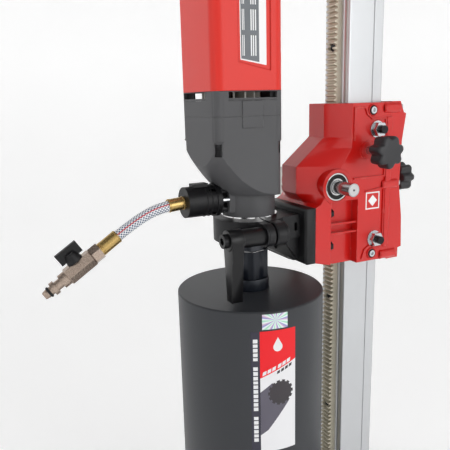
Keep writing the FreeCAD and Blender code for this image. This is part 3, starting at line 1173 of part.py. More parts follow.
def water_hose():
    """Hose and the ferrules on its ends."""
    path = route_path()
    near, near_way = hose_axis(True)
    section = Part.Face(Part.Wire(Part.makeCircle(HOSE_R, near, near_way)))
    hose = Part.Wire(path).makePipe(section)
    print("hose length:", round(path.Length, 1), "volume ratio:",
          round(hose.Volume / (math.pi * HOSE_R ** 2 * path.Length), 4))
    save("water_hose", hose)
    far, far_way = hose_axis(False)
    sleeves = [rod(near, near + near_way * NEAR_FERRULE,
                   FERRULE_R).cut(rod(near - near_way, near + near_way * 50, HOSE_R)),
               rod(far, far + far_way * FAR_FERRULE,
                   FERRULE_R).cut(rod(far - far_way, far + far_way * 50, HOSE_R))]
    save("hose_ferrules", sleeves)


def valve():
    """Ball valve at the hose's outer end; returns where it stops and the way the water comes."""
    far, back = hose_axis(False)
    along = back * -1
    up = V(0, along.z, -along.y)
    nut_end = far + along * NUT_LENGTH
    save("hose_nut", hex_rod(far, nut_end, NUT_FLATS).cut(rod(far - along, nut_end + along, HOSE_BORE_R)))
    end = nut_end + along * VALVE_LENGTH
    middle = nut_end + along * (VALVE_LENGTH / 2)
    body = fuse([rod(nut_end, end, VALVE_R), hex_rod(nut_end, nut_end + along * 9, 17.5),
                 hex_rod(end - along * 9, end, 17.5), rod(middle, middle + up * 12.5, 5.6)])
    hollow = Part.makeSphere(BALL_R + RUN * 2, middle)
    save("valve_body", cut(body, [rod(nut_end - along, end + along, HOSE_BORE_R), hollow,
                                  rod(middle, middle + up * 14, STEM_R + RUN * 2)]))
    ball = fuse([Part.makeSphere(BALL_R, middle), rod(middle, middle + up * 18, STEM_R)])
    save("valve_ball", cut(ball, [rod(middle - along * 9, middle + along * 9, HOSE_BORE_R)]))
    low = middle + up * (12.5 + GAP)
    across = V(1, 0, 0)
    corner = middle + along * (-LEVER_BLADE / 2) + up * 13.5 - across * (LEVER_BLADE_T / 2)
    blade = prism([corner, corner + along * LEVER_BLADE,
                   corner + along * LEVER_BLADE + up * (LEVER_RISE - 13.5),
                   corner + up * (LEVER_RISE - 13.5)], across * LEVER_BLADE_T)
    lever = fuse([blade, rod(low, low + up * 8, 6.2)])
    save("valve_lever", lever.cut(rod(middle, middle + up * 18, STEM_R)))
    return end, along


def hose_nipple(start, along):
    """Push-fit nipple with its sealing ring, past the valve."""
    shapes, at = [], start
    for radius, length in NIPPLE_STEPS:
        shapes.append(rod(at, at + along * length, radius))
        at = at + along * length
    nose = start + along * NIPPLE_LENGTH
    shapes.append(Part.makeCone(radius, NIPPLE_NOSE_R, (nose - at).Length, at, along))
    groove_at = start + along * NIPPLE_GROOVE
    seal = Part.makeTorus(radius, SEAL_RING_R, groove_at, along)
    body = cut(fuse(shapes), [rod(start - along, nose + along, HOSE_BORE_R - 0.8), seal])
    save("hose_nipple", body)
    save("nipple_seal", seal)


base_plate()
levelling_screws()
column()
column_cap()
column_foot()
brace_struts()
stand_bolts()
rack()
carriage_housing()
carriage_rear_cover()
guide_pads()
guide_set_screws()
guide_lock_nuts()
carriage_bolts()
feed_bearings()
mounting_plate()
plate_bolts()
motor_bracket()
clamp_nut()
clamp_lever()
clamp_bolt()
feed_shaft()
feed_pinion()
crank_arm()
crank_grip()
knobs()
gear_housing()
gearbox_cover()
motor_cover()
motor_end_cap()
power_switch()
cable_gland()
housing_screws()
stator()
carbon_brushes()
gearbox_bearings()
spindle_seals()
neck_ring()
armature()
middle_shaft()
spindle()
core_bit()
bit_adapter()
water_connector()
water_hose()
hose_nipple(*valve())
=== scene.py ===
"""Looks of a core drill rig: stand, feed carriage, wet drill motor, core bit and water hose.

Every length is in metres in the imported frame: +Z up, -Y towards the drill, origin on the floor under the
column. An Outline and the other tuples of sizes that say so are in millimetres.
"""

import sys

import json
import logging
import math
from collections.abc import Callable, Iterable, Sequence
from dataclasses import dataclass, field
from enum import Enum

import bmesh
import bpy
from mathutils import Matrix, Vector

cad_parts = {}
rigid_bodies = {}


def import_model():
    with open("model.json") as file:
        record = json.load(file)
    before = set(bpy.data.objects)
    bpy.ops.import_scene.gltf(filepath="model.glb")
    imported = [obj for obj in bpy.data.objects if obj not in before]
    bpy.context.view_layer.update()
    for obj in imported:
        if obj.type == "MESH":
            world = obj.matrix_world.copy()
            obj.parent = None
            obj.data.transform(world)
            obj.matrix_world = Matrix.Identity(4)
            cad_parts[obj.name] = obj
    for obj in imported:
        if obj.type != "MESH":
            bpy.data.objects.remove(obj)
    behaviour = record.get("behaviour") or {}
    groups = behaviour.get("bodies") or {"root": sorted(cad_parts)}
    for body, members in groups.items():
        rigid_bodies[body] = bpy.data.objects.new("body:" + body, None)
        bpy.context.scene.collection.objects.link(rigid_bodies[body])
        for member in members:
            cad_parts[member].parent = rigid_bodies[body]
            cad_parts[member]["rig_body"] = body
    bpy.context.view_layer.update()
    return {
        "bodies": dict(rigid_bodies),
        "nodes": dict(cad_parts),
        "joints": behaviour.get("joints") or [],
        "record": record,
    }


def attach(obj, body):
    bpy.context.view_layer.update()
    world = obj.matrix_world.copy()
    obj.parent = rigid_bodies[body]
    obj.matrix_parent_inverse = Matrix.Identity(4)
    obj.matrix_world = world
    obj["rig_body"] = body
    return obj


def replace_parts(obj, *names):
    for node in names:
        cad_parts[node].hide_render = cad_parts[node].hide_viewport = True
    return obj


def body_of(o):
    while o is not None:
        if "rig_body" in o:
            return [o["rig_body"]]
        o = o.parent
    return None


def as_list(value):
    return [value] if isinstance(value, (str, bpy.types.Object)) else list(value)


LOG = logging.getLogger("core_drill_rig")
MM = 0.001
WELD = 0.002 * MM
CREASE = math.radians(32.0)
CAST_EDGE = 0.8 * MM  # how far a casting's sharp edges are rounded
FINE_EDGE = 0.5 * MM  # the same on smaller parts
Z_AXIS = Vector((0.0, 0.0, 1.0))
SPINDLE = Vector((0.0, -0.1565, 0.0))  # on the drill's axis
# The hose's route, out of the swivel, over and down to its nut.
HOSE_ROUTE = (
    (0.0, -0.2415, 0.5859),
    (0.0, -0.2614, 0.5842),
    (0.0, -0.2809, 0.5797),
    (0.0, -0.2990, 0.5712),
    (0.0, -0.3212, 0.5576),
    (0.0, -0.3420, 0.5438),
)
Outline = tuple[tuple[float, float], ...]  # corners in millimetres


class Side(Enum):
    """A flank of the rig, by its way along X."""

    RIGHT = 1
    LEFT = -1

    @property
    def label(self) -> str:
        """Returns the end of a piece's name on this flank."""
        return self.name.lower()


class Wiring:
    """Adds nodes to one node tree and joins them."""

    def __init__(self, tree: bpy.types.NodeTree) -> None:
        """Keeps the tree.

        Args:
            tree: The shader or geometry tree that gets the nodes.
        """
        self.tree = tree

    def add(self, kind: str, feeds: dict | None = None, **settings: object) -> bpy.types.Node:
        """Adds a node, sets its options and fills its inputs.

        Args:
            kind: The node's type name.
            feeds: Input name or index to a value, or to the socket that drives it.
            **settings: The node's own options.

        Returns:
            The new node.
        """
        node = self.tree.nodes.new(kind)
        for option, value in settings.items():
            setattr(node, option, value)
        for key, value in (feeds or {}).items():
            if isinstance(value, bpy.types.NodeSocket):
                self.tree.links.new(value, node.inputs[key])
            else:
                node.inputs[key].default_value = value
        return node

    def math(self, operation: str, first: object, second: object) -> bpy.types.NodeSocket:
        """Returns the result of one sum on two numbers or sockets."""
        kind = "ShaderNodeMath"
        return self.add(kind, {0: first, 1: second}, operation=operation).outputs[0]

    def blend(self, factor: object, dark: object, light: object) -> bpy.types.NodeSocket:
        """Mixes two colours.

        Args:
            factor: The share of the second colour.
            dark: The first colour, or the socket that gives it.
            light: The second colour, or the socket that gives it.

        Returns:
            The mixed colour's socket.
        """
        feeds = {"Factor": factor, "A": dark, "B": light}
        node = self.add("ShaderNodeMix", data_type="RGBA")
        sockets = {"Factor": node.inputs[0], "A": node.inputs[6], "B": node.inputs[7]}
        for key, value in feeds.items():
            if isinstance(value, bpy.types.NodeSocket):
                self.tree.links.new(value, sockets[key])
            else:
                sockets[key].default_value = value
        return node.outputs[2]


class Texture(Enum):
    """What a finish shows close to: marks per metre along X, Y and Z, and their depth."""

    ENAMEL = ((420.0, 420.0, 420.0), 0.010 * MM)
    CRINKLE = ((1500.0, 1500.0, 1500.0), 0.16 * MM)
    CASTING = ((700.0, 700.0, 700.0), 0.22 * MM)
    DRAWN = ((1800.0, 1800.0, 9.0), 0.012 * MM)
    GROUND = ((60.0, 1600.0, 1600.0), 0.012 * MM)
    MILLED = ((2200.0, 90.0, 90.0), 0.03 * MM)
    MOULDED = ((1100.0, 1100.0, 1100.0), 0.05 * MM)
    PLATED = ((500.0, 500.0, 500.0), 0.006 * MM)
    GRIT = ((1800.0, 1800.0, 1800.0), 0.5 * MM)


def tint(code: int) -> tuple[float, float, float, float]:
    """Turns a display colour into a linear one.

    Args:
        code: The display colour, two hexadecimal digits for each of red, green and blue.

    Returns:
        Red, green, blue and an alpha of 1.
    """
    parts = [((code >> shift) & 255) / 255 for shift in (16, 8, 0)]
    linear = [p / 12.92 if p <= 0.04045 else ((p + 0.055) / 1.055) ** 2.4 for p in parts]
    return (*linear, 1.0)


def scaled(colour: Sequence[float], by: float) -> tuple[float, float, float, float]:
    """Returns a colour made darker or lighter, never above white."""
    return (*(min(1.0, part * by) for part in colour[:3]), 1.0)


@dataclass(frozen=True)
class Finish:
    """A paint, plating, plastic or metal, with grain, cloudiness and worn edges."""

    name: str
    slot: str
    code: int
    roughness: float = 0.4
    metallic: float = 0.0
    texture: Texture = Texture.ENAMEL
    cloud: float = 0.06
    cloud_scale: float = 22.0
    worn: int | None = None
    coat: float = 0.0
    coat_roughness: float = 0.08
    edge: float = 0.6 * MM
    specular: float = 0.5

    def material(self) -> bpy.types.Material:
        """Gives the finish's material, which is made the first time.

        Returns:
            The material.
        """
        known = bpy.data.materials.get(self.name)
        if known:
            return known
        made = bpy.data.materials.new(self.name)
        made.use_nodes = True
        made.diffuse_color = tint(self.code)
        wires = Wiring(made.node_tree)
        shader = made.node_tree.nodes["Principled BSDF"]
        place = wires.add("ShaderNodeTexCoord").outputs["Object"]
        grain = self.grain(wires, place)
        rounded = wires.add("ShaderNodeBevel", {"Radius": self.edge}, samples=4).outputs["Normal"]
        bump = wires.add(
            "ShaderNodeBump",
            {"Strength": 0.8, "Distance": self.texture.value[1], "Height": grain, "Normal": rounded},
        )
        colour = self.colour(wires, place)
        if self.worn is not None:
            colour = wires.blend(self.wear(wires, place, rounded), colour, tint(self.worn))
        rough = wires.add(
            "ShaderNodeMapRange",
            {"Value": grain, "To Min": self.roughness * 0.85, "To Max": min(1.0, self.roughness * 1.2)},
        )
        wires.tree.links.new(colour, shader.inputs["Base Color"])
        wires.tree.links.new(rough.outputs[0], shader.inputs["Roughness"])
        wires.tree.links.new(bump.outputs[0], shader.inputs["Normal"])
        shader.inputs["Metallic"].default_value = self.metallic
        shader.inputs["Specular IOR Level"].default_value = self.specular
        shader.inputs["Coat Weight"].default_value = self.coat
        shader.inputs["Coat Roughness"].default_value = self.coat_roughness
        return made

    def grain(self, wires: Wiring, place: bpy.types.NodeSocket) -> bpy.types.NodeSocket:
        """Returns the height of the finest marks.

        Args:
            wires: The material's tree.
            place: Object coordinates.

        Returns:
            A socket from 0 to 1.
        """
        spread = wires.add("ShaderNodeMapping", {"Vector": place, "Scale": self.texture.value[0]})
        feeds = {"Vector": spread.outputs[0], "Scale": 1.0, "Detail": 3.0, "Roughness": 0.6}
        return wires.add("ShaderNodeTexNoise", feeds).outputs[0]

    def colour(self, wires: Wiring, place: bpy.types.NodeSocket) -> bpy.types.NodeSocket:
        """Returns the finish's colour with soft clouds of lighter and darker tone.

        Args:
            wires: The material's tree.
            place: Object coordinates.

        Returns:
            A colour socket.
        """
        feeds = {"Vector": place, "Scale": self.cloud_scale, "Detail": 4.0}
        cloud = wires.add("ShaderNodeTexNoise", feeds).outputs[0]
        base = tint(self.code)
        return wires.blend(cloud, scaled(base, 1 - 2 * self.cloud), scaled(base, 1 + 2 * self.cloud))

    def wear(
        self, wires: Wiring, place: bpy.types.NodeSocket, rounded: bpy.types.NodeSocket
    ) -> bpy.types.NodeSocket:
        """Returns where the finish is rubbed off: along sharp edges, in broken patches.

        Args:
            wires: The material's tree.
            place: Object coordinates.
            rounded: The normal with softened edges.

        Returns:
            A factor socket.
        """
        plain = wires.add("ShaderNodeNewGeometry").outputs["Normal"]
        along = wires.add(
            "ShaderNodeVectorMath", {0: plain, 1: rounded}, operation="DOT_PRODUCT"
        ).outputs["Value"]
        feeds = {"Value": along, "From Min": 0.985, "From Max": 0.90}
        rim = wires.add("ShaderNodeMapRange", feeds).outputs[0]
        feeds = {"Vector": place, "Scale": 90.0, "Detail": 5.0}
        spots = wires.add("ShaderNodeTexNoise", feeds).outputs[0]
        feeds = {"Value": spots, "From Min": 0.52, "From Max": 0.66}
        broken = wires.add("ShaderNodeMapRange", feeds).outputs[0]
        return wires.math("MULTIPLY", rim, broken)


@dataclass(frozen=True)
class Foil(Finish):
    """Silver security foil that breaks the light into coloured rays round its middle."""

    middle: tuple[float, float, float] = (0.0, 0.0, 0.0)
    rays: float = 9.0

    def colour(self, wires: Wiring, place: bpy.types.NodeSocket) -> bpy.types.NodeSocket:
        """Returns rainbow rays round the foil's middle.

        Args:
            wires: The material's tree.
            place: Object coordinates.

        Returns:
            A colour socket.
        """
        back = tuple(-part for part in self.middle)
        # The foil lies on the X side of the barrel, so its own plane is turned flat for the radial gradient.
        centred = wires.add("ShaderNodeMapping", {"Vector": place, "Location": back})
        flat = wires.add(
            "ShaderNodeMapping", {"Vector": centred.outputs[0], "Rotation": (0.0, math.radians(90), 0.0)}
        )
        sweep = wires.add(
            "ShaderNodeTexGradient", {"Vector": flat.outputs[0]}, gradient_type="RADIAL"
        ).outputs[1]
        wave = wires.math("FRACT", wires.math("MULTIPLY", sweep, self.rays), 0.0)
        ramp = wires.add("ShaderNodeValToRGB", {"Fac": wave})
        stops = ((0.0, 0xE8F0F0), (0.25, 0x8FD8B0), (0.45, 0xF4F4F8), (0.6, 0x8890C8), (0.8, 0xC9A8C4),
                 (1.0, 0xE8F0F0))
        band = ramp.color_ramp
        band.elements[0].color, band.elements[1].color = tint(stops[0][1]), tint(stops[-1][1])
        for position, code in stops[1:-1]:
            band.elements.new(position).color = tint(code)
        return ramp.outputs[0]


class Paint:
    """Every finish of the rig."""

    CARRIAGE = Finish("carriage_enamel", "carriage_red", 0xCB120C, 0.3, cloud=0.03, coat=0.5,
                      coat_roughness=0.13, edge=1.6 * MM, worn=0xD9655C, specular=0.35)
    MOTOR = Finish("motor_shell_paint", "motor_red", 0xDB2A1E, 0.36, texture=Texture.MOULDED, cloud=0.02,
                   coat=0.12, coat_roughness=0.25, edge=2.0 * MM, specular=0.3)
    GEARBOX = Finish("gearbox_crinkle", "gear_grey", 0x4A4A4C, 0.55, texture=Texture.CRINKLE, cloud=0.05,
                     edge=1.4 * MM, worn=0x6A6A6C)
    CAST = Finish("black_casting", "cast_black", 0x19191B, 0.42, texture=Texture.CRINKLE, cloud=0.08,
                  edge=1.0 * MM, worn=0x4A4A4D, specular=0.3)
    LEVER = Finish("lever_enamel", "cast_black", 0x0D0D0F, 0.3, cloud=0.06, edge=1.0 * MM, worn=0x5A5A5C,
                   specular=0.35)
    BASE = Finish("base_hammer_paint", "base_paint", 0x2C2D30, 0.5, texture=Texture.CASTING, cloud=0.08,
                  edge=1.6 * MM, worn=0x77787B)
    COLUMN = Finish("column_anodising", "column_silver", 0xC9CBCD, 0.34, 0.8, Texture.DRAWN, cloud=0.02,
                    edge=0.8 * MM)
    RACK = Finish("rack_zinc", "rack_steel", 0xCDC6B3, 0.4, 0.45, Texture.GROUND, cloud=0.12,
                  edge=0.3 * MM, worn=0xD8D6CE)
    ZINC = Finish("zinc_plating", "zinc", 0xC9CCCF, 0.24, 1.0, Texture.PLATED, cloud=0.06, edge=0.3 * MM)
    BLACK_STEEL = Finish("blackened_screw", "black_screw", 0x1E1E20, 0.34, 0.6, Texture.PLATED, cloud=0.1,
                         edge=0.4 * MM, worn=0x8A8A8C)
    BEARING = Finish("bearing_steel", "bearing_steel", 0xD4D6D8, 0.16, 1.0, Texture.MILLED, cloud=0.03,
                     edge=0.4 * MM)
    SHAFT = Finish("ground_shaft", "shaft_steel", 0xB9BABB, 0.22, 1.0, Texture.MILLED, cloud=0.05,
                   edge=0.5 * MM)
    ALLOY = Finish("crank_alloy", "crank_alloy", 0xB4ABA3, 0.45, 0.7, Texture.CASTING, cloud=0.07,
                   edge=1.0 * MM, worn=0xE0DAD4)
    BIT = Finish("bit_satin", "bit_paint", 0x2E3034, 0.42, texture=Texture.MOULDED, cloud=0.035,
                 edge=0.8 * MM, specular=0.42)
    ADAPTER = Finish("adapter_bluing", "bit_paint", 0x171C25, 0.33, 0.3, Texture.PLATED, cloud=0.1,
                     edge=0.9 * MM, worn=0x59636F)
    SEGMENT = Finish("diamond_matrix", "segment", 0x8A8477, 0.55, 0.7, Texture.GRIT, cloud=0.16,
                     edge=0.5 * MM)
    CHROME = Finish("chrome_ring", "chrome_ring", 0xE3E5E7, 0.09, 1.0, Texture.PLATED, cloud=0.02,
                    edge=0.4 * MM)
    BRASS = Finish("ferrule_brass", "brass", 0xB99C63, 0.26, 1.0, Texture.PLATED, cloud=0.1, edge=0.4 * MM)
    NICKEL = Finish("warm_nickel", "nickel", 0xA8978A, 0.27, 1.0, Texture.CASTING, cloud=0.06,
                    edge=0.5 * MM)
    KNOB = Finish("knob_plastic", "knob_black", 0x242427, 0.42, texture=Texture.MOULDED, cloud=0.05,
                  edge=1.4 * MM)
    WATER = Finish("swivel_plastic", "water_black", 0x111113, 0.42, texture=Texture.MOULDED, cloud=0.06,
                   edge=0.8 * MM, specular=0.3)
    CAP = Finish("cap_plastic", "cap_black", 0x1B1B1D, 0.46, texture=Texture.MOULDED, cloud=0.05,
                 edge=0.8 * MM)
    RUBBER = Finish("seal_rubber", "seal_rubber", 0x101011, 0.62, texture=Texture.MOULDED, cloud=0.08,
                    edge=0.3 * MM)
    PAD = Finish("guide_pad_nylon", "pad_plastic", 0xE4E0D2, 0.5, texture=Texture.MOULDED, edge=0.5 * MM)
    FAN = Finish("fan_nylon", "fan_plastic", 0xC9C6BE, 0.45, texture=Texture.MOULDED, cloud=0.05,
                 edge=0.4 * MM)
    COPPER = Finish("copper_winding", "copper", 0xB5683C, 0.28, 1.0, Texture.DRAWN, cloud=0.1)
    LAMINATION = Finish("stator_lamination", "laminations", 0x8C8E90, 0.38, 0.9, Texture.GROUND, cloud=0.08)
    CARBON = Finish("brush_carbon", "carbon", 0x232325, 0.7, texture=Texture.MOULDED, cloud=0.1)
    HOSE = Finish("hose_wall", "hose", 0x53617C, 0.16, texture=Texture.PLATED, cloud=0.12, cloud_scale=240.0,
                  coat=1.0, coat_roughness=0.05, edge=0.1 * MM)
    BRAID = Finish("hose_braid", "hose", 0xF4F5F7, 0.42, texture=Texture.MOULDED, cloud=0.04,
                   coat=0.6, edge=0.05 * MM)
    STRIPE = Finish("hose_red_stripe", "hose", 0xC8202A, 0.3, texture=Texture.PLATED, cloud=0.06, coat=0.8,
                    edge=0.05 * MM)
    LABEL_RED = Finish("label_red", "bit_paint", 0xE9141F, 0.34, cloud=0.02, coat=0.15, edge=0.05 * MM,
                       specular=0.3)
    LABEL_WHITE = Finish("label_white", "bit_paint", 0xE6E6E8, 0.34, cloud=0.01, coat=0.4, edge=0.05 * MM)
    LABEL_NAVY = Finish("label_navy", "bit_paint", 0x1B1830, 0.34, cloud=0.05, coat=0.4, edge=0.05 * MM)
    LABEL_BLACK = Finish("label_black", "bit_paint", 0x231A22, 0.34, cloud=0.1, coat=0.4, edge=0.05 * MM)
    LABEL_MID = Finish("label_shade", "bit_paint", 0x54505E, 0.34, cloud=0.1, coat=0.4, edge=0.05 * MM)
    PLATE_GREY = Finish("rating_plate", "cap_black", 0x5C6064, 0.35, 0.3, Texture.GROUND, edge=0.05 * MM)
    PLATE_WHITE = Finish("plate_white", "cap_black", 0xF0F0F0, 0.35, cloud=0.02, edge=0.05 * MM)
    FOIL = Foil("security_foil", "bit_paint", 0xDDE4E8, 0.2, 0.6, Texture.PLATED, edge=0.05 * MM,
                middle=(0.0895, -0.1735, 0.4595))


class Growth:
    """A Geometry Nodes tree with named sizes that ends in real, dressed mesh."""

    def __init__(self, name: str, sizes: dict[str, float]) -> None:
        """Opens the tree and its inputs.

        Args:
            name: The tree's name.
            sizes: Each named size with its usual value.
        """
        self.tree = bpy.data.node_groups.new(name, "GeometryNodeTree")
        self.wires = Wiring(self.tree)
        face = self.tree.interface
        for way in ("INPUT", "OUTPUT"):
            face.new_socket("Geometry", in_out=way, socket_type="NodeSocketGeometry")
        self.identifiers: dict[str, str] = {}
        for label, value in sizes.items():
            kind = "NodeSocketInt" if isinstance(value, int) else "NodeSocketFloat"
            socket = face.new_socket(label, in_out="INPUT", socket_type=kind)
            socket.default_value = value
            self.identifiers[label] = socket.identifier
        self.start = self.wires.add("NodeGroupInput")

    def size(self, label: str) -> bpy.types.NodeSocket:
        """Returns the socket of a named size."""
        return self.start.outputs[label]

    def close(self, geometry: bpy.types.NodeSocket, finish: Finish) -> None:
        """Makes the instances real and dresses them.

        Args:
            geometry: What the tree has made.
            finish: Its finish.
        """
        real = self.wires.add("GeometryNodeRealizeInstances", {"Geometry": geometry})
        feeds = {"Geometry": real.outputs[0], "Material": finish.material()}
        dressed = self.wires.add("GeometryNodeSetMaterial", feeds)
        self.wires.add("NodeGroupOutput", {"Geometry": dressed.outputs[0]})

    def grow(self, host: bpy.types.Object, name: str, sizes: dict[str, float]) -> bpy.types.Object:
        """Runs the tree on a host, which it uses up.

        Args:
            host: The points or curve that the tree starts from.
            name: The new piece's name.
            sizes: Named sizes that differ from the usual ones.

        Returns:
            The piece, a plain mesh object.
        """
        modifier = host.modifiers.new(name, "NODES")
        modifier.node_group = self.tree
        for label, value in sizes.items():
            modifier[self.identifiers[label]] = value
        bpy.context.view_layer.update()
        graph = bpy.context.evaluated_depsgraph_get()
        mesh = bpy.data.meshes.new_from_object(host.evaluated_get(graph), depsgraph=graph)
        host.modifiers.remove(modifier)
        bpy.data.objects.remove(host)
        piece = bpy.data.objects.new(name, mesh)
        bpy.context.scene.collection.objects.link(piece)
        return piece


class RingGrowth(Growth):
    """Round beads on points, each square to the point's own axis."""

    def __init__(self, finish: Finish) -> None:
        """Builds the tree.

        Args:
            finish: What the beads are made of.
        """
        super().__init__(f"beads_{finish.name}", {"Ring radius": 0.01, "Bead radius": 0.0008, "Sides": 48})
        add = self.wires.add
        loop = add("GeometryNodeCurvePrimitiveCircle",
                   {"Resolution": self.size("Sides"), "Radius": self.size("Ring radius")})
        bead = add("GeometryNodeCurvePrimitiveCircle", {"Resolution": 8, "Radius": self.size("Bead radius")})
        ring = add("GeometryNodeCurveToMesh", {"Curve": loop.outputs[0], "Profile Curve": bead.outputs[0]})
        axis = add("GeometryNodeInputNamedAttribute", {"Name": "axis"}, data_type="FLOAT_VECTOR")
        turn = add("FunctionNodeAlignRotationToVector", {"Vector": axis.outputs[0]}, axis="Z")
        copies = add("GeometryNodeInstanceOnPoints",
                     {"Points": self.start.outputs[0], "Instance": ring.outputs[0],
                      "Rotation": turn.outputs[0]})
        smooth = add("GeometryNodeSetShadeSmooth", {"Geometry": copies.outputs[0]})
        self.close(smooth.outputs[0], finish)


class ScrewGrowth(Growth):
    """Socket-head cap screws on points, with a domed rim and a hexagon socket."""

    def __init__(self, finish: Finish) -> None:
        """Builds the tree.

        Args:
            finish: What the screw heads are made of.
        """
        sizes = {"Head radius": 0.004, "Head height": 0.004, "Key radius": 0.0021, "Key depth": 0.0025}
        super().__init__(f"cap_screws_{finish.name}", sizes)
        add = self.wires.add
        half = self.wires.math("MULTIPLY", self.size("Head height"), 0.5)
        head = add("GeometryNodeMeshCylinder",
                   {"Vertices": 28, "Side Segments": 3, "Radius": self.size("Head radius"),
                    "Depth": self.size("Head height")})
        rise = add("ShaderNodeCombineXYZ", {"Z": half})
        lifted = add("GeometryNodeTransform", {"Geometry": head.outputs[0], "Translation": rise.outputs[0]})
        twice = self.wires.math("MULTIPLY", self.size("Key depth"), 2.0)
        key = add("GeometryNodeMeshCylinder",
                  {"Vertices": 6, "Radius": self.size("Key radius"), "Depth": twice})
        top = add("ShaderNodeCombineXYZ", {"Z": self.size("Head height")})
        sunk = add("GeometryNodeTransform", {"Geometry": key.outputs[0], "Translation": top.outputs[0]})
        screw = add("GeometryNodeMeshBoolean", operation="DIFFERENCE")
        self.tree.links.new(lifted.outputs[0], screw.inputs[0])
        self.tree.links.new(sunk.outputs[0], screw.inputs[1])
        axis = add("GeometryNodeInputNamedAttribute", {"Name": "axis"}, data_type="FLOAT_VECTOR")
        turn = add("FunctionNodeAlignRotationToVector", {"Vector": axis.outputs[0]}, axis="Z")
        copies = add("GeometryNodeInstanceOnPoints",
                     {"Points": self.start.outputs[0], "Instance": screw.outputs[0],
                      "Rotation": turn.outputs[0]})
        self.close(copies.outputs[0], finish)


class StrandGrowth(Growth):
    """Yarns wound round a curve, evenly spaced, all the same way."""

    def __init__(self, finish: Finish) -> None:
        """Builds the tree.

        Args:
            finish: What the yarns are made of.
        """
        sizes = {"Strands": 10, "Turns": 3.0, "Lay radius": 0.006, "Yarn radius": 0.0004, "Phase": 0.0,
                 "Steps": 160}
        super().__init__(f"yarns_{finish.name}", sizes)
        add, sums = self.wires.add, self.wires.math
        even = add("GeometryNodeResampleCurve", {"Curve": self.start.outputs[0], "Count": self.size("Steps")})
        many = add("GeometryNodeDuplicateElements",
                   {"Geometry": even.outputs[0], "Amount": self.size("Strands")}, domain="SPLINE")
        share = sums("DIVIDE", many.outputs["Duplicate Index"], self.size("Strands"))
        along = add("GeometryNodeSplineParameter").outputs["Factor"]
        wound = sums("MULTIPLY", along, self.size("Turns"))
        turns = sums("ADD", wound, sums("ADD", share, self.size("Phase")))
        angle = sums("MULTIPLY", turns, 2 * math.pi)
        normal = add("GeometryNodeInputNormal").outputs[0]
        tangent = add("GeometryNodeInputTangent").outputs[0]
        side = add("ShaderNodeVectorMath", {0: tangent, 1: normal}, operation="CROSS_PRODUCT").outputs[0]
        radius = self.size("Lay radius")
        outward = sums("MULTIPLY", sums("COSINE", angle, 0.0), radius)
        out = add("ShaderNodeVectorMath", {0: normal, "Scale": outward}, operation="SCALE").outputs[0]
        sideways = sums("MULTIPLY", sums("SINE", angle, 0.0), radius)
        over = add("ShaderNodeVectorMath", {0: side, "Scale": sideways}, operation="SCALE").outputs[0]
        offset = add("ShaderNodeVectorMath", {0: out, 1: over}, operation="ADD").outputs[0]
        moved = add("GeometryNodeSetPosition", {"Geometry": many.outputs[0], "Offset": offset})
        round_yarn = add("GeometryNodeCurvePrimitiveCircle",
                         {"Resolution": 6, "Radius": self.size("Yarn radius")})
        yarn = add("GeometryNodeCurveToMesh",
                   {"Curve": moved.outputs[0], "Profile Curve": round_yarn.outputs[0], "Fill Caps": True})
        smooth = add("GeometryNodeSetShadeSmooth", {"Geometry": yarn.outputs[0]})
        self.close(smooth.outputs[0], finish)


class CrystalGrowth(Growth):
    """Small hard crystals scattered over a surface with a fixed seed."""

    def __init__(self, finish: Finish) -> None:
        """Builds the tree.

        Args:
            finish: What the crystals are made of.
        """
        super().__init__(f"crystals_{finish.name}", {"Per area": 900000.0, "Size": 0.0003, "Seed": 7})
        add = self.wires.add
        spots = add("GeometryNodeDistributePointsOnFaces",
                    {"Mesh": self.start.outputs[0], "Density": self.size("Per area"),
                     "Seed": self.size("Seed")})
        chip = add("GeometryNodeMeshIcoSphere", {"Radius": self.size("Size"), "Subdivisions": 1})
        feeds = {0: (0.0, 0.0, 0.0), 1: (6.0, 6.0, 6.0), "Seed": self.size("Seed")}
        spin = add("FunctionNodeRandomValue", feeds, data_type="FLOAT_VECTOR")
        copies = add("GeometryNodeInstanceOnPoints",
                     {"Points": spots.outputs[0], "Instance": chip.outputs[0], "Rotation": spin.outputs[0]})
        self.close(copies.outputs[0], finish)


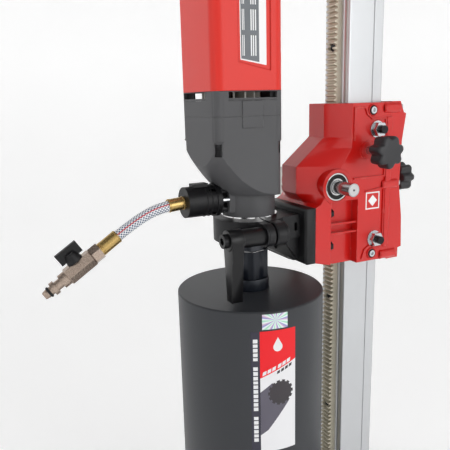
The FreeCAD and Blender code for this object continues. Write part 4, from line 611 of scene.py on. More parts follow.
@dataclass
class Assembly:
    """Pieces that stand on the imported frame."""

    frame: dict

    def body(self, node: str) -> str:
        """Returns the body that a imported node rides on."""
        return body_of(self.frame["nodes"][node])[0]

    def dress(self, finish: Finish, *nodes: str) -> None:
        """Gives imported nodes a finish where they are.

        Args:
            finish: The finish.
            *nodes: The nodes' names.
        """
        for node in nodes:
            for slot in self.frame["nodes"][node].material_slots:
                slot.material = finish.material()

    def settle(self, piece: bpy.types.Object, body: str, finish: Finish) -> bpy.types.Object:
        """Gives a piece its finish if it has none, sets it on its body and reports it.

        Args:
            piece: A mesh object that is already in place.
            body: The body that it rides on.
            finish: The finish that it wears.

        Returns:
            The piece.
        """
        if not piece.data.materials:
            piece.data.materials.append(finish.material())
        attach(piece, body)
        LOG.info("%s on %s, %d faces", piece.name, body, len(piece.data.polygons))
        return piece

    def mesh(self, name: str, shape: bmesh.types.BMesh, body: str, finish: Finish,
             crease: float = CREASE) -> bpy.types.Object:
        """Turns mesh work into a settled piece.

        Args:
            name: The piece's name.
            shape: The mesh work, which is used up.
            body: The body that the piece rides on.
            finish: Its finish.
            crease: Faces that meet at less than this angle shade as one.

        Returns:
            The piece.
        """
        data = bpy.data.meshes.new(name)
        shape.to_mesh(data)
        shape.free()
        data.shade_smooth()
        data.set_sharp_from_angle(angle=crease)
        piece = bpy.data.objects.new(name, data)
        bpy.context.scene.collection.objects.link(piece)
        return self.settle(piece, body, finish)

    def shell(self, node: str, finish: Finish, round_by: float = 0.0) -> bpy.types.Object:
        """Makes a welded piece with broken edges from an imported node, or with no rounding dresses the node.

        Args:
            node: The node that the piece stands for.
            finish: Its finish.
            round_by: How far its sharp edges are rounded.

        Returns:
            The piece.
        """
        if not round_by:
            self.dress(finish, node)
            return self.frame["nodes"][node]
        shape = bmesh.new()
        shape.from_mesh(self.frame["nodes"][node].data)
        bmesh.ops.remove_doubles(shape, verts=shape.verts, dist=WELD)
        bmesh.ops.dissolve_limit(shape, angle_limit=math.radians(0.5), verts=shape.verts, edges=shape.edges)
        sharp = [e for e in shape.edges if e.is_manifold and e.calc_face_angle(0.0) > CREASE]
        bmesh.ops.bevel(shape, geom=sharp, offset=round_by, segments=2, profile=0.5, affect="EDGES",
                        clamp_overlap=True)
        piece = self.mesh(f"{node}_shell", shape, self.body(node), finish)
        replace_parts(piece, node)
        return piece

    def points(self, places: Iterable[Vector], axis: Vector) -> bpy.types.Object:
        """Returns a host object of bare points that all know one axis.

        Args:
            places: Where the points are.
            axis: The direction that grown things face.

        Returns:
            The host.
        """
        data = bpy.data.meshes.new("points")
        data.from_pydata([tuple(p) for p in places], [], [])
        known = data.attributes.new("axis", "FLOAT_VECTOR", "POINT")
        for row in known.data:
            row.vector = axis
        host = bpy.data.objects.new("points", data)
        bpy.context.scene.collection.objects.link(host)
        return host


def in_metres(pairs: Iterable[tuple[float, float]]) -> list[tuple[float, float]]:
    """Returns pairs of millimetres as pairs of metres."""
    return [(first * MM, second * MM) for first, second in pairs]


def rectangle(left: float, low: float, right: float, high: float) -> list[tuple[float, float]]:
    """Returns the corners of an upright rectangle."""
    return [(left, low), (right, low), (right, high), (left, high)]


def screw_sizes(*millimetres: float) -> dict[str, float]:
    """Returns a cap screw's sizes: head radius, head height, key radius and key depth."""
    labels = ("Head radius", "Head height", "Key radius", "Key depth")
    return {label: size * MM for label, size in zip(labels, millimetres)}


def turned(outline: Sequence[tuple[float, float]], base: Vector, axis: Vector,
           steps: int = 48) -> bmesh.types.BMesh:
    """Turns an outline round an axis into a closed shape.

    Args:
        outline: Pairs of radius and distance along the axis. The ends lie on the axis.
        base: A point on the axis, at distance 0.
        axis: The axis.
        steps: Sides of the turned shape.

    Returns:
        The shape as a bmesh.
    """
    shape = bmesh.new()
    turn = Z_AXIS.rotation_difference(axis.normalized()).to_matrix()
    rings = []
    for radius, along in outline:
        if radius < WELD:
            rings.append([shape.verts.new(base + turn @ Vector((0.0, 0.0, along)))])
            continue
        loop = []
        for step in range(steps):
            angle = 2 * math.pi * step / steps
            spot = Vector((radius * math.cos(angle), radius * math.sin(angle), along))
            loop.append(shape.verts.new(base + turn @ spot))
        rings.append(loop)
    for low, high in zip(rings, rings[1:]):
        for step in range(steps):
            after = (step + 1) % steps
            corners = [low[step % len(low)], low[after % len(low)],
                       high[after % len(high)], high[step % len(high)]]
            shape.faces.new(list(dict.fromkeys(corners)))
    bmesh.ops.recalc_face_normals(shape, faces=shape.faces)
    return shape


def ring(outline: Sequence[tuple[float, float]], base: Vector, axis: Vector,
         steps: int = 48) -> bmesh.types.BMesh:
    """Turns a closed section that clears the axis into a ring.

    Args:
        outline: Pairs of radius and distance along the axis, going round the section.
        base: A point on the axis, at distance 0.
        axis: The axis.
        steps: Sides of the ring.

    Returns:
        The ring as a bmesh.
    """
    shape = bmesh.new()
    turn = Z_AXIS.rotation_difference(axis.normalized()).to_matrix()
    rows = []
    for step in range(steps):
        angle = 2 * math.pi * step / steps
        spots = (Vector((r * math.cos(angle), r * math.sin(angle), along)) for r, along in outline)
        rows.append([shape.verts.new(base + turn @ spot) for spot in spots])
    for row, after in zip(rows, rows[1:] + rows[:1]):
        for corner in range(len(outline)):
            past = (corner + 1) % len(outline)
            shape.faces.new((row[corner], row[past], after[past], after[corner]))
    bmesh.ops.recalc_face_normals(shape, faces=shape.faces)
    return shape


@dataclass
class Studio:
    """Pale sweep, soft boxes and the camera."""

    floor_reach: float = 3.2
    wall_height: float = 3.4
    cove: float = 1.0
    cove_steps: int = 12
    sides: int = 72
    paper: tuple[float, float] = (0.86, 0.90)  # darkest and lightest grey of the paper
    glow: float = 0.3
    azimuth: float = math.radians(63.815)
    elevation: float = math.radians(12.556)
    roll: float = math.radians(-1.485)
    lens: float = 44.8
    sensor: float = 36.0
    clip: tuple[float, float] = (0.01, 50.0)
    eye: Vector = field(default_factory=lambda: Vector((0.5925, -0.4808, 0.7003)))
    aim: Vector = field(default_factory=lambda: Vector((0.0, -0.12, 0.55)))
    air: float = 0.2
    # Each soft box's name, place, side and watts.
    boxes: tuple = (
        ("key_box", (1.9, 0.55, 0.95), 1.2, 10.0),
        ("front_box", (0.5, -2.1, 1.1), 1.1, 1.2),
        ("top_box", (0.0, -0.2, 2.6), 1.6, 6.0),
    )

    def build(self) -> None:
        """Makes the sweep, the light and the camera."""
        self.sweep()
        self.sky(self.air)
        for name, spot, side, power in self.boxes:
            self.softbox(name, Vector(spot), self.aim, side, power)
        self.camera()
        view = bpy.context.scene.view_settings
        view.view_transform = "Standard"

    def sweep(self) -> None:
        """Makes a pale floor that curves up into a wall all round."""
        flat = self.floor_reach - self.cove
        outline = [(0.0, 0.0), (flat, 0.0)]
        for step in range(1, self.cove_steps + 1):
            turn = math.radians(90 * step / self.cove_steps)
            outline.append((flat + self.cove * math.sin(turn), self.cove * (1 - math.cos(turn))))
        outline.append((self.floor_reach, self.wall_height))
        shape = bmesh.new()
        angles = [math.radians(360 * k / self.sides) for k in range(self.sides)]
        rows = [[shape.verts.new((r * math.cos(a), r * math.sin(a), z)) for a in angles]
                for r, z in outline[1:]]
        shape.faces.new(rows[0])
        for low, high in zip(rows, rows[1:]):
            for k in range(self.sides):
                after = (k + 1) % self.sides
                shape.faces.new((low[k], low[after], high[after], high[k]))
        bmesh.ops.recalc_face_normals(shape, faces=shape.faces)
        bmesh.ops.reverse_faces(shape, faces=shape.faces)
        data = bpy.data.meshes.new("studio_sweep")
        shape.to_mesh(data)
        shape.free()
        data.shade_smooth()
        paper = bpy.data.materials.new("sweep_paper")
        paper.use_nodes = True
        wires = Wiring(paper.node_tree)
        shader = paper.node_tree.nodes["Principled BSDF"]
        place = wires.add("ShaderNodeTexCoord").outputs["Object"]
        fibre = wires.add("ShaderNodeTexNoise", {"Vector": place, "Scale": 3.0, "Detail": 2.0}).outputs[0]
        dark, light = ((grey, grey, grey, 1.0) for grey in self.paper)
        shade = wires.blend(fibre, dark, light)
        wires.tree.links.new(shade, shader.inputs["Base Color"])
        shader.inputs["Roughness"].default_value = 0.8
        shader.inputs["Emission Color"].default_value = (1.0, 1.0, 1.0, 1.0)
        shader.inputs["Emission Strength"].default_value = self.glow
        data.materials.append(paper)
        sweep = bpy.data.objects.new("studio_sweep", data)
        bpy.context.scene.collection.objects.link(sweep)

    def sky(self, strength: float) -> None:
        """Sets an even white surrounding light.

        Args:
            strength: Its strength.
        """
        world = bpy.data.worlds.new("studio_air")
        world.use_nodes = True
        air = world.node_tree.nodes["Background"]
        air.inputs["Color"].default_value = (1.0, 1.0, 1.0, 1.0)
        air.inputs["Strength"].default_value = strength
        bpy.context.scene.world = world

    def softbox(self, name: str, spot: Vector, target: Vector, side: float, power: float) -> None:
        """Hangs a square soft box.

        Args:
            name: The light's name.
            spot: Where it hangs.
            target: What it faces.
            side: Its side.
            power: Its power in watts.
        """
        data = bpy.data.lights.new(name, "AREA")
        data.size, data.energy = side, power
        box = bpy.data.objects.new(name, data)
        box.location = spot
        box.rotation_euler = (target - spot).to_track_quat("-Z", "Y").to_euler()
        bpy.context.scene.collection.objects.link(box)

    def camera(self) -> None:
        """Sets the camera by azimuth, elevation and roll."""
        a, e = self.azimuth, self.elevation
        back = Vector((math.sin(a) * math.cos(e), -math.cos(a) * math.cos(e), math.sin(e)))
        level = Vector((math.cos(a), math.sin(a), 0.0))
        upright = back.cross(level)
        right = level * math.cos(self.roll) + upright * math.sin(self.roll)
        up = upright * math.cos(self.roll) - level * math.sin(self.roll)
        data = bpy.data.cameras.new("camera")
        data.lens, data.sensor_width = self.lens, self.sensor
        data.clip_start, data.clip_end = self.clip
        camera = bpy.data.objects.new("camera", data)
        turn = Matrix((right, up, back)).transposed().to_4x4()
        camera.matrix_world = Matrix.Translation(self.eye) @ turn
        bpy.context.scene.collection.objects.link(camera)
        bpy.context.scene.camera = camera


@dataclass
class WaterHose(Assembly):
    """Braided hose with its ferrules, ball valve and push-fit nipple."""

    wall: float = 0.0063
    yarns: int = 10
    lay_turns: float = 2.9
    yarn_radius: float = 0.00062
    stripe_radius: float = 0.00075
    parts: list = field(default_factory=list)
    looms: dict = field(default_factory=dict)
    ferrule_radius: float = 7.6 * MM
    crimp_bead: float = 0.45 * MM
    nut_length: float = 11.0 * MM
    valve_length: float = 34.0 * MM
    braid_lay: float = 0.00585
    left_phase: float = 0.04
    stripe_lay: float = 0.00597
    stripe_phase: float = 0.583
    # How far along each ferrule its crimp beads are, in millimetres.
    near_beads: tuple[float, ...] = (2.0, 18.6)
    far_beads: tuple[float, ...] = (1.6, 3.2, 22.6)
    # Turned outlines: radius, then distance along the water's way or along the stem.
    valve_outline: Outline = ((4.2, 0.0), (9.0, 0.0), (10.1, 1.0), (10.1, 33.0), (9.0, 34.0), (4.2, 34.0),
                              (4.2, 24.8), (8.0, 24.1), (8.0, 9.9), (4.2, 9.2))
    stem_hole: Outline = ((0.0, 0.0), (3.3, 0.0), (3.3, 12.0), (0.0, 12.0))
    boss_outline: Outline = ((3.3, 8.2), (5.6, 8.2), (5.6, 12.4), (3.3, 12.4))
    skirt_outline: Outline = ((5.9, 9.3), (9.0, 9.3), (9.0, 11.0), (6.8, 19.0), (5.9, 19.0))

    def build(self) -> None:
        """Makes the hose and what is on it."""
        hose = self.hose()
        for name, phase, turns in (("hose_braid_right", 0.0, self.lay_turns),
                                   ("hose_braid_left", self.left_phase, -self.lay_turns)):
            self.wind(name, Paint.BRAID, {"Strands": self.yarns, "Turns": turns, "Lay radius": self.braid_lay,
                                          "Yarn radius": self.yarn_radius, "Phase": phase})
        stripe = {"Strands": 1, "Turns": 0.0, "Lay radius": self.stripe_lay, "Phase": self.stripe_phase,
                  "Yarn radius": self.stripe_radius}
        self.wind("hose_stripe", Paint.STRIPE, stripe)
        self.fittings()
        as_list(self.parts)

    def route(self, name: str) -> bpy.types.Object:
        """Draws a curve with no thickness along the hose's route.

        Args:
            name: The curve's name.

        Returns:
            The curve object.
        """
        data = bpy.data.curves.new(name, "CURVE")
        data.dimensions = "3D"
        data.resolution_u = 24
        line = data.splines.new("NURBS")
        line.points.add(len(HOSE_ROUTE) - 1)
        for point, place in zip(line.points, HOSE_ROUTE):
            point.co = (*place, 1.0)
        line.order_u = 3
        line.use_endpoint_u = True
        curve = bpy.data.objects.new(name, data)
        bpy.context.scene.collection.objects.link(curve)
        return curve

    def hose(self) -> bpy.types.Object:
        """Makes the hose's wall on its route.

        Returns:
            The wall's curve object.
        """
        hose = self.route("water_hose_wall")
        hose.data.bevel_depth = self.wall
        hose.data.bevel_resolution = 8
        hose.data.use_fill_caps = True
        hose.data.materials.append(Paint.HOSE.material())
        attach(hose, self.body("water_hose"))
        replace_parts(hose, "water_hose")
        return hose

    def wind(self, name: str, finish: Finish, sizes: dict[str, float]) -> None:
        """Winds yarns along the hose.

        Args:
            name: The piece's name.
            finish: The yarns' finish.
            sizes: The tree's named sizes.
        """
        growth = self.looms.get(finish.name) or StrandGrowth(finish)
        self.looms[finish.name] = growth
        piece = growth.grow(self.route(name + "_path"), name, sizes)
        self.parts.append(self.settle(piece, self.body("water_hose"), finish))

    def fittings(self) -> None:
        """Dresses the ferrules, nut, valve and nipple, and adds the ferrules' crimp beads."""
        for node, finish in (("hose_ferrules", Paint.BRASS), ("hose_nut", Paint.NICKEL),
                             ("valve_ball", Paint.NICKEL), ("hose_nipple", Paint.NICKEL),
                             ("nipple_seal", Paint.RUBBER), ("valve_lever", Paint.WATER)):
            self.parts.append(self.shell(node, finish))
        route = [Vector(point) for point in HOSE_ROUTE]
        near, near_way = route[0], (route[1] - route[0]).normalized()
        far, far_way = route[-1], (route[-1] - route[-2]).normalized()
        beads = RingGrowth(Paint.BRASS)
        sizes = {"Ring radius": self.ferrule_radius, "Bead radius": self.crimp_bead, "Sides": 40}
        for label, start, way, steps in (("near", near, near_way, self.near_beads),
                                         ("far", far, far_way * -1, self.far_beads)):
            host = self.points([start + way * step * MM for step in steps], way)
            piece = beads.grow(host, f"ferrule_beads_{label}", sizes)
            self.parts.append(self.settle(piece, self.body("hose_ferrules"), Paint.BRASS))
        self.valve(far + far_way * self.nut_length, far_way)

    def valve(self, start: Vector, way: Vector) -> None:
        """Makes the valve's hexagonal body with its ball chamber and stem boss, and the lever's skirt.

        Args:
            start: Where the body begins.
            way: The way the water comes.
        """
        up = Vector((0.0, way.z, -way.y))
        middle = start + way * (self.valve_length / 2)
        hexagon = ring(in_metres(self.valve_outline), start, way, 6)
        body = bored(hexagon, turned(in_metres(self.stem_hole), middle, up, 32))
        joined(body, ring(in_metres(self.boss_outline), middle, up, 32))
        piece = self.mesh("valve_hexagon", body, self.body("valve_body"), Paint.NICKEL)
        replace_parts(piece, "valve_body")
        self.parts.append(piece)
        skirt = ring(in_metres(self.skirt_outline), middle, up, 40)
        self.parts.append(self.mesh("valve_lever_skirt", skirt, self.body("valve_lever"), Paint.WATER))


@dataclass
class Stand(Assembly):
    """Base plate, column, rack, foot and braces."""

    def build(self) -> None:
        """Makes and dresses the stand."""
        self.shell("base_plate", Paint.BASE, CAST_EDGE)
        self.shell("column_foot", Paint.BASE, CAST_EDGE)
        self.shell("brace_struts", Paint.BASE, FINE_EDGE)
        self.shell("column", Paint.COLUMN)
        self.shell("column_cap", Paint.CAP, CAST_EDGE)
        self.shell("rack", Paint.RACK)
        self.shell("levelling_screws", Paint.ZINC)
        self.shell("stand_bolts", Paint.BLACK_STEEL)


@dataclass
class Carriage(Assembly):
    """Red feed carriage with its guides, bearings, bolts and emblem."""

    face: float = 45.6 * MM
    pinion: Vector = field(default_factory=lambda: Vector((0.0, -0.0575, 0.5933)))
    sunk: float = 0.3 * MM  # how deep a raised part starts inside the casting
    # Turned outlines: radius, then distance along the axis.
    bearing_back: float = 35.6 * MM
    outer_race: Outline = ((15.4, 0.0), (17.45, 0.0), (17.45, 9.4), (16.95, 9.9), (15.4, 9.9))
    inner_race: Outline = ((8.55, 0.0), (10.4, 0.0), (10.4, 9.9), (8.9, 9.9), (8.55, 9.4))
    seal_outline: Outline = ((10.4, 1.0), (15.4, 1.0), (15.4, 9.4), (14.4, 9.65), (13.9, 9.2), (11.6, 9.2),
                             (10.9, 9.6), (10.4, 9.4))
    pocket_wall: Outline = ((4.9, -0.3), (7.4, -0.3), (7.4, 1.4), (6.6, 1.9), (5.9, 1.4), (5.9, 0.12),
                            (4.9, 0.12))
    pocket_radius: float = 5.88 * MM
    lug_outline: Outline = ((0.0, 0.0), (5.2, 0.0), (6.6, 1.4), (6.6, 25.2), (5.4, 26.6), (0.0, 26.6))
    # On the side faces: along Y, then up.
    upper_rim: Outline = ((-33.5, 648.0), (-33.5, 687.5), (-17.0, 687.5), (-14.0, 679.5), (-6.0, 673.8),
                          (15.5, 673.8), (15.5, 601.5), (-33.0, 601.5))
    lower_rim: Outline = ((-14.5, 583.5), (15.5, 586.5), (15.5, 509.0), (3.0, 509.0), (-4.0, 512.5),
                          (-13.0, 508.0), (-17.5, 496.0))
    rim_width: float = 2.2 * MM
    rim_height: float = 2.1 * MM
    land: tuple[float, float, float, float] = (16.6, 508.0, 24.6, 675.0)
    land_height: float = 2.8 * MM
    bolts: Outline = ((-5.5, 684.0), (-1.3, 501.5))
    lug_x: float = 43.2 * MM
    lug_y: float = 12.0 * MM
    lug_levels: tuple[float, ...] = (686.0, 590.0, 497.4)
    emblem_box: tuple[float, float, float, float] = (-12.6, 560.0, 9.5, 582.0)
    emblem_line: float = 1.6 * MM
    emblem_reach: float = 7.2 * MM

    def build(self) -> None:
        """Makes and dresses the carriage."""
        self.shell("carriage_housing", Paint.CARRIAGE)
        self.shell("carriage_rear_cover", Paint.CARRIAGE)
        self.dress(Paint.PAD, "guide_pads")
        self.shell("guide_set_screws", Paint.BLACK_STEEL)
        self.shell("guide_lock_nuts", Paint.ZINC)
        self.shell("carriage_bolts", Paint.ZINC)
        self.shell("mounting_plate", Paint.CAST, CAST_EDGE)
        self.shell("plate_bolts", Paint.BLACK_STEEL)
        self.bearings()
        self.relief()
        self.lugs()
        self.side_bolts()
        self.emblem()

    def bearings(self) -> None:
        """Makes the sealed bearings: steel races and a dark seal between them."""
        pieces = []
        for side in (Side.LEFT, Side.RIGHT):
            base = Vector((side.value * self.bearing_back, self.pinion.y, self.pinion.z))
            axis = Vector((side.value, 0.0, 0.0))
            races = ring(in_metres(self.outer_race), base, axis, 64)
            joined(races, ring(in_metres(self.inner_race), base, axis, 64))
            pieces.append(self.mesh(f"feed_bearing_races_{side.label}", races, "carriage", Paint.BEARING))
            seal = ring(in_metres(self.seal_outline), base, axis, 64)
            self.mesh(f"feed_bearing_seal_{side.label}", seal, "carriage", Paint.RUBBER)
        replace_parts(pieces[0], "feed_bearings")

    def relief(self) -> None:
        """Casts the raised rims, the land and the bolt pockets of both side faces, and paints shadow in the
        pockets.
        """
        for side in Side:
            place, label = flat_on(side.value * self.face), side.label
            bands = [ribbon(in_metres(rim), self.rim_width) for rim in (self.upper_rim, self.lower_rim)]
            rims = patches(bands, place, self.rim_height, -self.sunk)
            self.mesh(f"side_rims_{label}", rims, "carriage", Paint.CARRIAGE)
            land = patches([in_metres(rectangle(*self.land))], place, self.land_height, -self.sunk)
            self.mesh(f"side_land_{label}", land, "carriage", Paint.CARRIAGE)
            for name, (y, z) in zip(("high", "low"), in_metres(self.bolts)):
                centre = Vector((side.value * self.face, y, z))
                pocket = ring(in_metres(self.pocket_wall), centre, Vector((side.value, 0.0, 0.0)))
                self.mesh(f"bolt_pocket_{name}_{label}", pocket, "carriage", Paint.CARRIAGE)
                # A thin black disc on each pocket's floor is painted shadow round the bolt.
                floor = patches(disc(y, z, self.pocket_radius), place, 0.2 * MM)
                self.mesh(f"bolt_shadow_{name}_{label}", floor, "carriage", Paint.CAST)

    def lugs(self) -> None:
        """Casts the half-round lugs that the rear cover's bolts run through."""
        for side in Side:
            for level, z in enumerate(self.lug_levels):
                start = Vector((side.value * self.lug_x, self.lug_y, z * MM))
                lug = turned(in_metres(self.lug_outline), start, Vector((0.0, 1.0, 0.0)))
                self.mesh(f"cover_lug_{level}_{side.label}", lug, "carriage", Paint.CARRIAGE)

    def side_bolts(self) -> None:
        """Grows the small socket bolts of both side faces."""
        growth = ScrewGrowth(Paint.ZINC)
        sizes = screw_sizes(4.3, 2.6, 2.4, 2.0)
        for side in Side:
            places = [Vector((side.value * self.face, y, z)) for y, z in in_metres(self.bolts)]
            host = self.points(places, Vector((side.value, 0.0, 0.0)))
            self.settle(growth.grow(host, f"side_bolts_{side.label}", sizes), "carriage", Paint.ZINC)

    def emblem(self) -> None:
        """Puts a plain square pictogram on the right-hand face."""
        left, low, right, high = (size * MM for size in self.emblem_box)
        line, reach = self.emblem_line, self.emblem_reach
        edges = [rectangle(left, low, right, low + line), rectangle(left, high - line, right, high),
                 rectangle(left, low + line, left + line, high - line),
                 rectangle(right - line, low + line, right, high - line)]
        y, z = (left + right) / 2, (low + high) / 2
        diamond = [(y, z - reach), (y + reach, z), (y, z + reach), (y - reach, z)]
        shape = patches(edges + [diamond], flat_on(self.face), 0.12 * MM)
        self.mesh("carriage_emblem", shape, "carriage", Paint.PLATE_WHITE)


def bored(block: bmesh.types.BMesh, drill: bmesh.types.BMesh) -> bmesh.types.BMesh:
    """Cuts one closed shape out of another; both are used up.

    Args:
        block: The shape that is cut.
        drill: What is taken away.

    Returns:
        What is left.
    """
    pair = []
    for shape, name in ((block, "block"), (drill, "drill")):
        data = bpy.data.meshes.new(name)
        shape.to_mesh(data)
        shape.free()
        pair.append(bpy.data.objects.new(name, data))
        bpy.context.scene.collection.objects.link(pair[-1])
    cut = pair[0].modifiers.new("bore", "BOOLEAN")
    cut.object, cut.operation, cut.solver = pair[1], "DIFFERENCE", "EXACT"
    graph = bpy.context.evaluated_depsgraph_get()
    data = bpy.data.meshes.new_from_object(pair[0].evaluated_get(graph))
    left = bmesh.new()
    left.from_mesh(data)
    bpy.data.meshes.remove(data)
    for helper in pair:
        spare = helper.data
        bpy.data.objects.remove(helper)
        bpy.data.meshes.remove(spare)
    return left


def joined(shape: bmesh.types.BMesh, other: bmesh.types.BMesh) -> None:
    """Adds a shape's mesh to another.

    Args:
        shape: The mesh that grows.
        other: What is added to it, which is used up.
    """
    spare = bpy.data.meshes.new("spare")
    other.to_mesh(spare)
    other.free()
    shape.from_mesh(spare)
    bpy.data.meshes.remove(spare)


def flat_on(x: float) -> Callable[[float, float, float], Vector]:
    """Returns the placing of a flat graphic on a side face at this X: across is Y and up is Z."""
    way = 1.0 if x > 0 else -1.0
    return lambda across, up, depth: Vector((x + way * depth, across, up))


def round_barrel(radius: float) -> Callable[[float, float, float], Vector]:
    """Gives the placing of a graphic on the core bit.

    Args:
        radius: The barrel's radius.

    Returns:
        The placing: across runs round the barrel from -Y towards +X, up is Z and depth is outwards.
    """

    def place(across: float, up: float, depth: float) -> Vector:
        """Gives a point of the barrel's wall.

        Args:
            across: How far round the barrel it is.
            up: Its height.
            depth: How far outside the wall it is.

        Returns:
            The point.
        """
        angle, out = across / radius, radius + depth
        return SPINDLE + Vector((out * math.sin(angle), -out * math.cos(angle), up))

    return place


def patches(outlines: Iterable[Sequence[tuple[float, float]]], place: Callable[[float, float, float], Vector],
            thick: float, raised: float = 0.0, strip: float = 2.5 * MM) -> bmesh.types.BMesh:
    """Lays thin closed patches of film on a surface.

    Args:
        outlines: Corners of each patch, as pairs of across and up.
        place: Takes across, up and depth to a point.
        thick: The film's thickness.
        raised: How far its back is off the surface.
        strip: Widest facet of a patch that follows a curve.

    Returns:
        The patches as a bmesh.
    """
    shape = bmesh.new()
    for outline in outlines:
        face = shape.faces.new([shape.verts.new((across, up, raised)) for across, up in outline])
        grown = bmesh.ops.extrude_face_region(shape, geom=[face])
        corners = [part for part in grown["geom"] if isinstance(part, bmesh.types.BMVert)]
        bmesh.ops.translate(shape, verts=corners, vec=(0.0, 0.0, thick))
    spots = [v.co.x for v in shape.verts]
    cut = min(spots) + strip
    while cut < max(spots):
        everything = shape.verts[:] + shape.edges[:] + shape.faces[:]
        bmesh.ops.bisect_plane(shape, geom=everything, plane_co=(cut, 0.0, 0.0), plane_no=(1.0, 0.0, 0.0))
        cut += strip
    for vertex in shape.verts:
        vertex.co = place(*vertex.co)
    bmesh.ops.recalc_face_normals(shape, faces=shape.faces)
    return shape


def ribbon(path: Sequence[tuple[float, float]], width: float) -> list[tuple[float, float]]:
    """Returns the outline of a band with mitred corners along an open path.

    Args:
        path: The band's middle line.
        width: Its width.

    Returns:
        The band's corners, going round it.
    """
    left, right = [], []
    spots = [Vector(spot) for spot in path]
    for k, spot in enumerate(spots):
        near = spots[max(0, k - 1):k + 2]
        ways = [(b - a).normalized() for a, b in zip(near, near[1:])]
        mean = (ways[0] + ways[-1]).normalized()
        out = Vector((-mean.y, mean.x)) * (width / 2 / max(0.5, mean.dot(ways[0])))
        left.append(tuple(spot + out))
        right.append(tuple(spot - out))
    return left + right[::-1]


def disc(across: float, up: float, radius: float, inner: float = 0.0,
         sides: int = 28) -> list[list[tuple[float, float]]]:
    """Draws a disc, or a ring when there is an inner radius.

    Args:
        across: Its centre's place across.
        up: Its centre's place up.
        radius: Its radius.
        inner: The radius of its hole.
        sides: How many sides it has.

    Returns:
        Its outlines: one for a disc, one for each side of a ring.
    """
    spots = [(math.cos(2 * math.pi * k / sides), math.sin(2 * math.pi * k / sides)) for k in range(sides)]
    if not inner:
        return [[(across + radius * c, up + radius * s) for c, s in spots]]
    outlines = []
    for (c0, s0), (c1, s1) in zip(spots, spots[1:] + spots[:1]):
        outlines.append([(across + inner * c0, up + inner * s0), (across + radius * c0, up + radius * s0),
                         (across + radius * c1, up + radius * s1), (across + inner * c1, up + inner * s1)])
    return outlines


@dataclass
class Feed(Assembly):
    """Feed shaft, pinion, crank and its grip."""

    grip_centre: Vector = field(default_factory=lambda: Vector((0.0, -0.03498, 0.4775)))
    shaft: Vector = field(default_factory=lambda: Vector((0.0, -0.0575, 0.5933)))
    shaft_end: float = 77.0 * MM
    end_ring: tuple[float, float] = (6.6 * MM, 1.7 * MM)
    centre_hole: float = 1.1 * MM
    first_rib: float = 0.090
    rib_step: float = 0.006
    ribs: int = 11

    def build(self) -> None:
        """Makes and dresses the feed drive."""
        self.shell("feed_shaft", Paint.SHAFT)
        self.shell("feed_pinion", Paint.SHAFT)
        end = flat_on(self.shaft_end)
        y, z = self.shaft.y, self.shaft.z
        body = self.body("feed_shaft")
        self.mesh("shaft_chamfer", patches(disc(y, z, *self.end_ring), end, 0.08 * MM), body, Paint.BEARING)
        # A dark disc painted as the shade in the shaft end's centre hole.
        hole = patches(disc(y, z, self.centre_hole), end, 0.1 * MM)
        self.mesh("shaft_centre_hole", hole, body, Paint.BLACK_STEEL)
        self.shell("crank_arm", Paint.ALLOY)
        self.shell("crank_grip", Paint.KNOB)
        places = [self.grip_centre + Vector((-(self.first_rib + self.rib_step * k), 0.0, 0.0))
                  for k in range(self.ribs)]
        host = self.points(places, Vector((1.0, 0.0, 0.0)))
        sizes = {"Ring radius": 11.9 * MM, "Bead radius": 0.9 * MM, "Sides": 40}
        piece = RingGrowth(Paint.KNOB).grow(host, "crank_grip_ribs", sizes)
        self.settle(piece, self.body("crank_grip"), Paint.KNOB)


@dataclass
class StarKnob(Assembly):
    """Seven-lobed clamping knob with a crowned face."""

    node: str = "side_knob"
    hub: Vector = field(default_factory=lambda: Vector((0.07, -0.013, 0.6356)))
    axis: Vector = field(default_factory=lambda: Vector((1.0, 0.0, 0.0)))
    lobes: int = 7
    tip: float = 20.1 * MM
    valley: float = 4.6 * MM
    steps: int = 168
    # Each row is height along the axis, the share of the full outline and the share of the lobes' depth.
    rows: tuple[tuple[float, float, float], ...] = (
        (-8, 0.40, 0.0), (-2, 0.43, 0.0), (-1.2, 0.62, 0.35), (0, 0.90, 0.9), (1.2, 0.965, 1.0),
        (3, 0.985, 1.0), (15, 1.0, 1.0), (17.2, 0.985, 1.0), (18.6, 0.94, 0.95), (19.4, 0.88, 0.85),
        (19.8, 0.80, 0.65), (20.0, 0.62, 0.35), (20.0, 0.34, 0.05), (20.0, 0.0, 0.0),
    )

    def build(self) -> None:
        """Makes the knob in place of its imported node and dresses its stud."""
        self.shell(f"{self.node}_stud", Paint.ZINC)
        shape = bmesh.new()
        turn = Z_AXIS.rotation_difference(self.axis).to_matrix()
        rings = []
        for height, share, depth in self.rows:
            if not share:
                rings.append([shape.verts.new(self.hub + turn @ Vector((0.0, 0.0, height * MM)))])
                continue
            loop = []
            for step in range(self.steps):
                angle = 2 * math.pi * step / self.steps
                dip = ((1 - math.cos(self.lobes * angle)) / 2) ** 1.5
                radius = share * (self.tip - depth * self.valley * dip)
                spot = Vector((radius * math.cos(angle), radius * math.sin(angle), height * MM))
                loop.append(shape.verts.new(self.hub + turn @ spot))
            rings.append(loop)
        shape.faces.new(rings[0])
        for low, high in zip(rings, rings[1:]):
            for step in range(self.steps):
                after = (step + 1) % self.steps
                corners = [low[step], low[after], high[after % len(high)], high[step % len(high)]]
                shape.faces.new(list(dict.fromkeys(corners)))
        bmesh.ops.recalc_face_normals(shape, faces=shape.faces)
        piece = self.mesh(f"{self.node}_star", shape, self.body(self.node), Paint.KNOB, math.radians(50))
        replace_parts(piece, self.node)


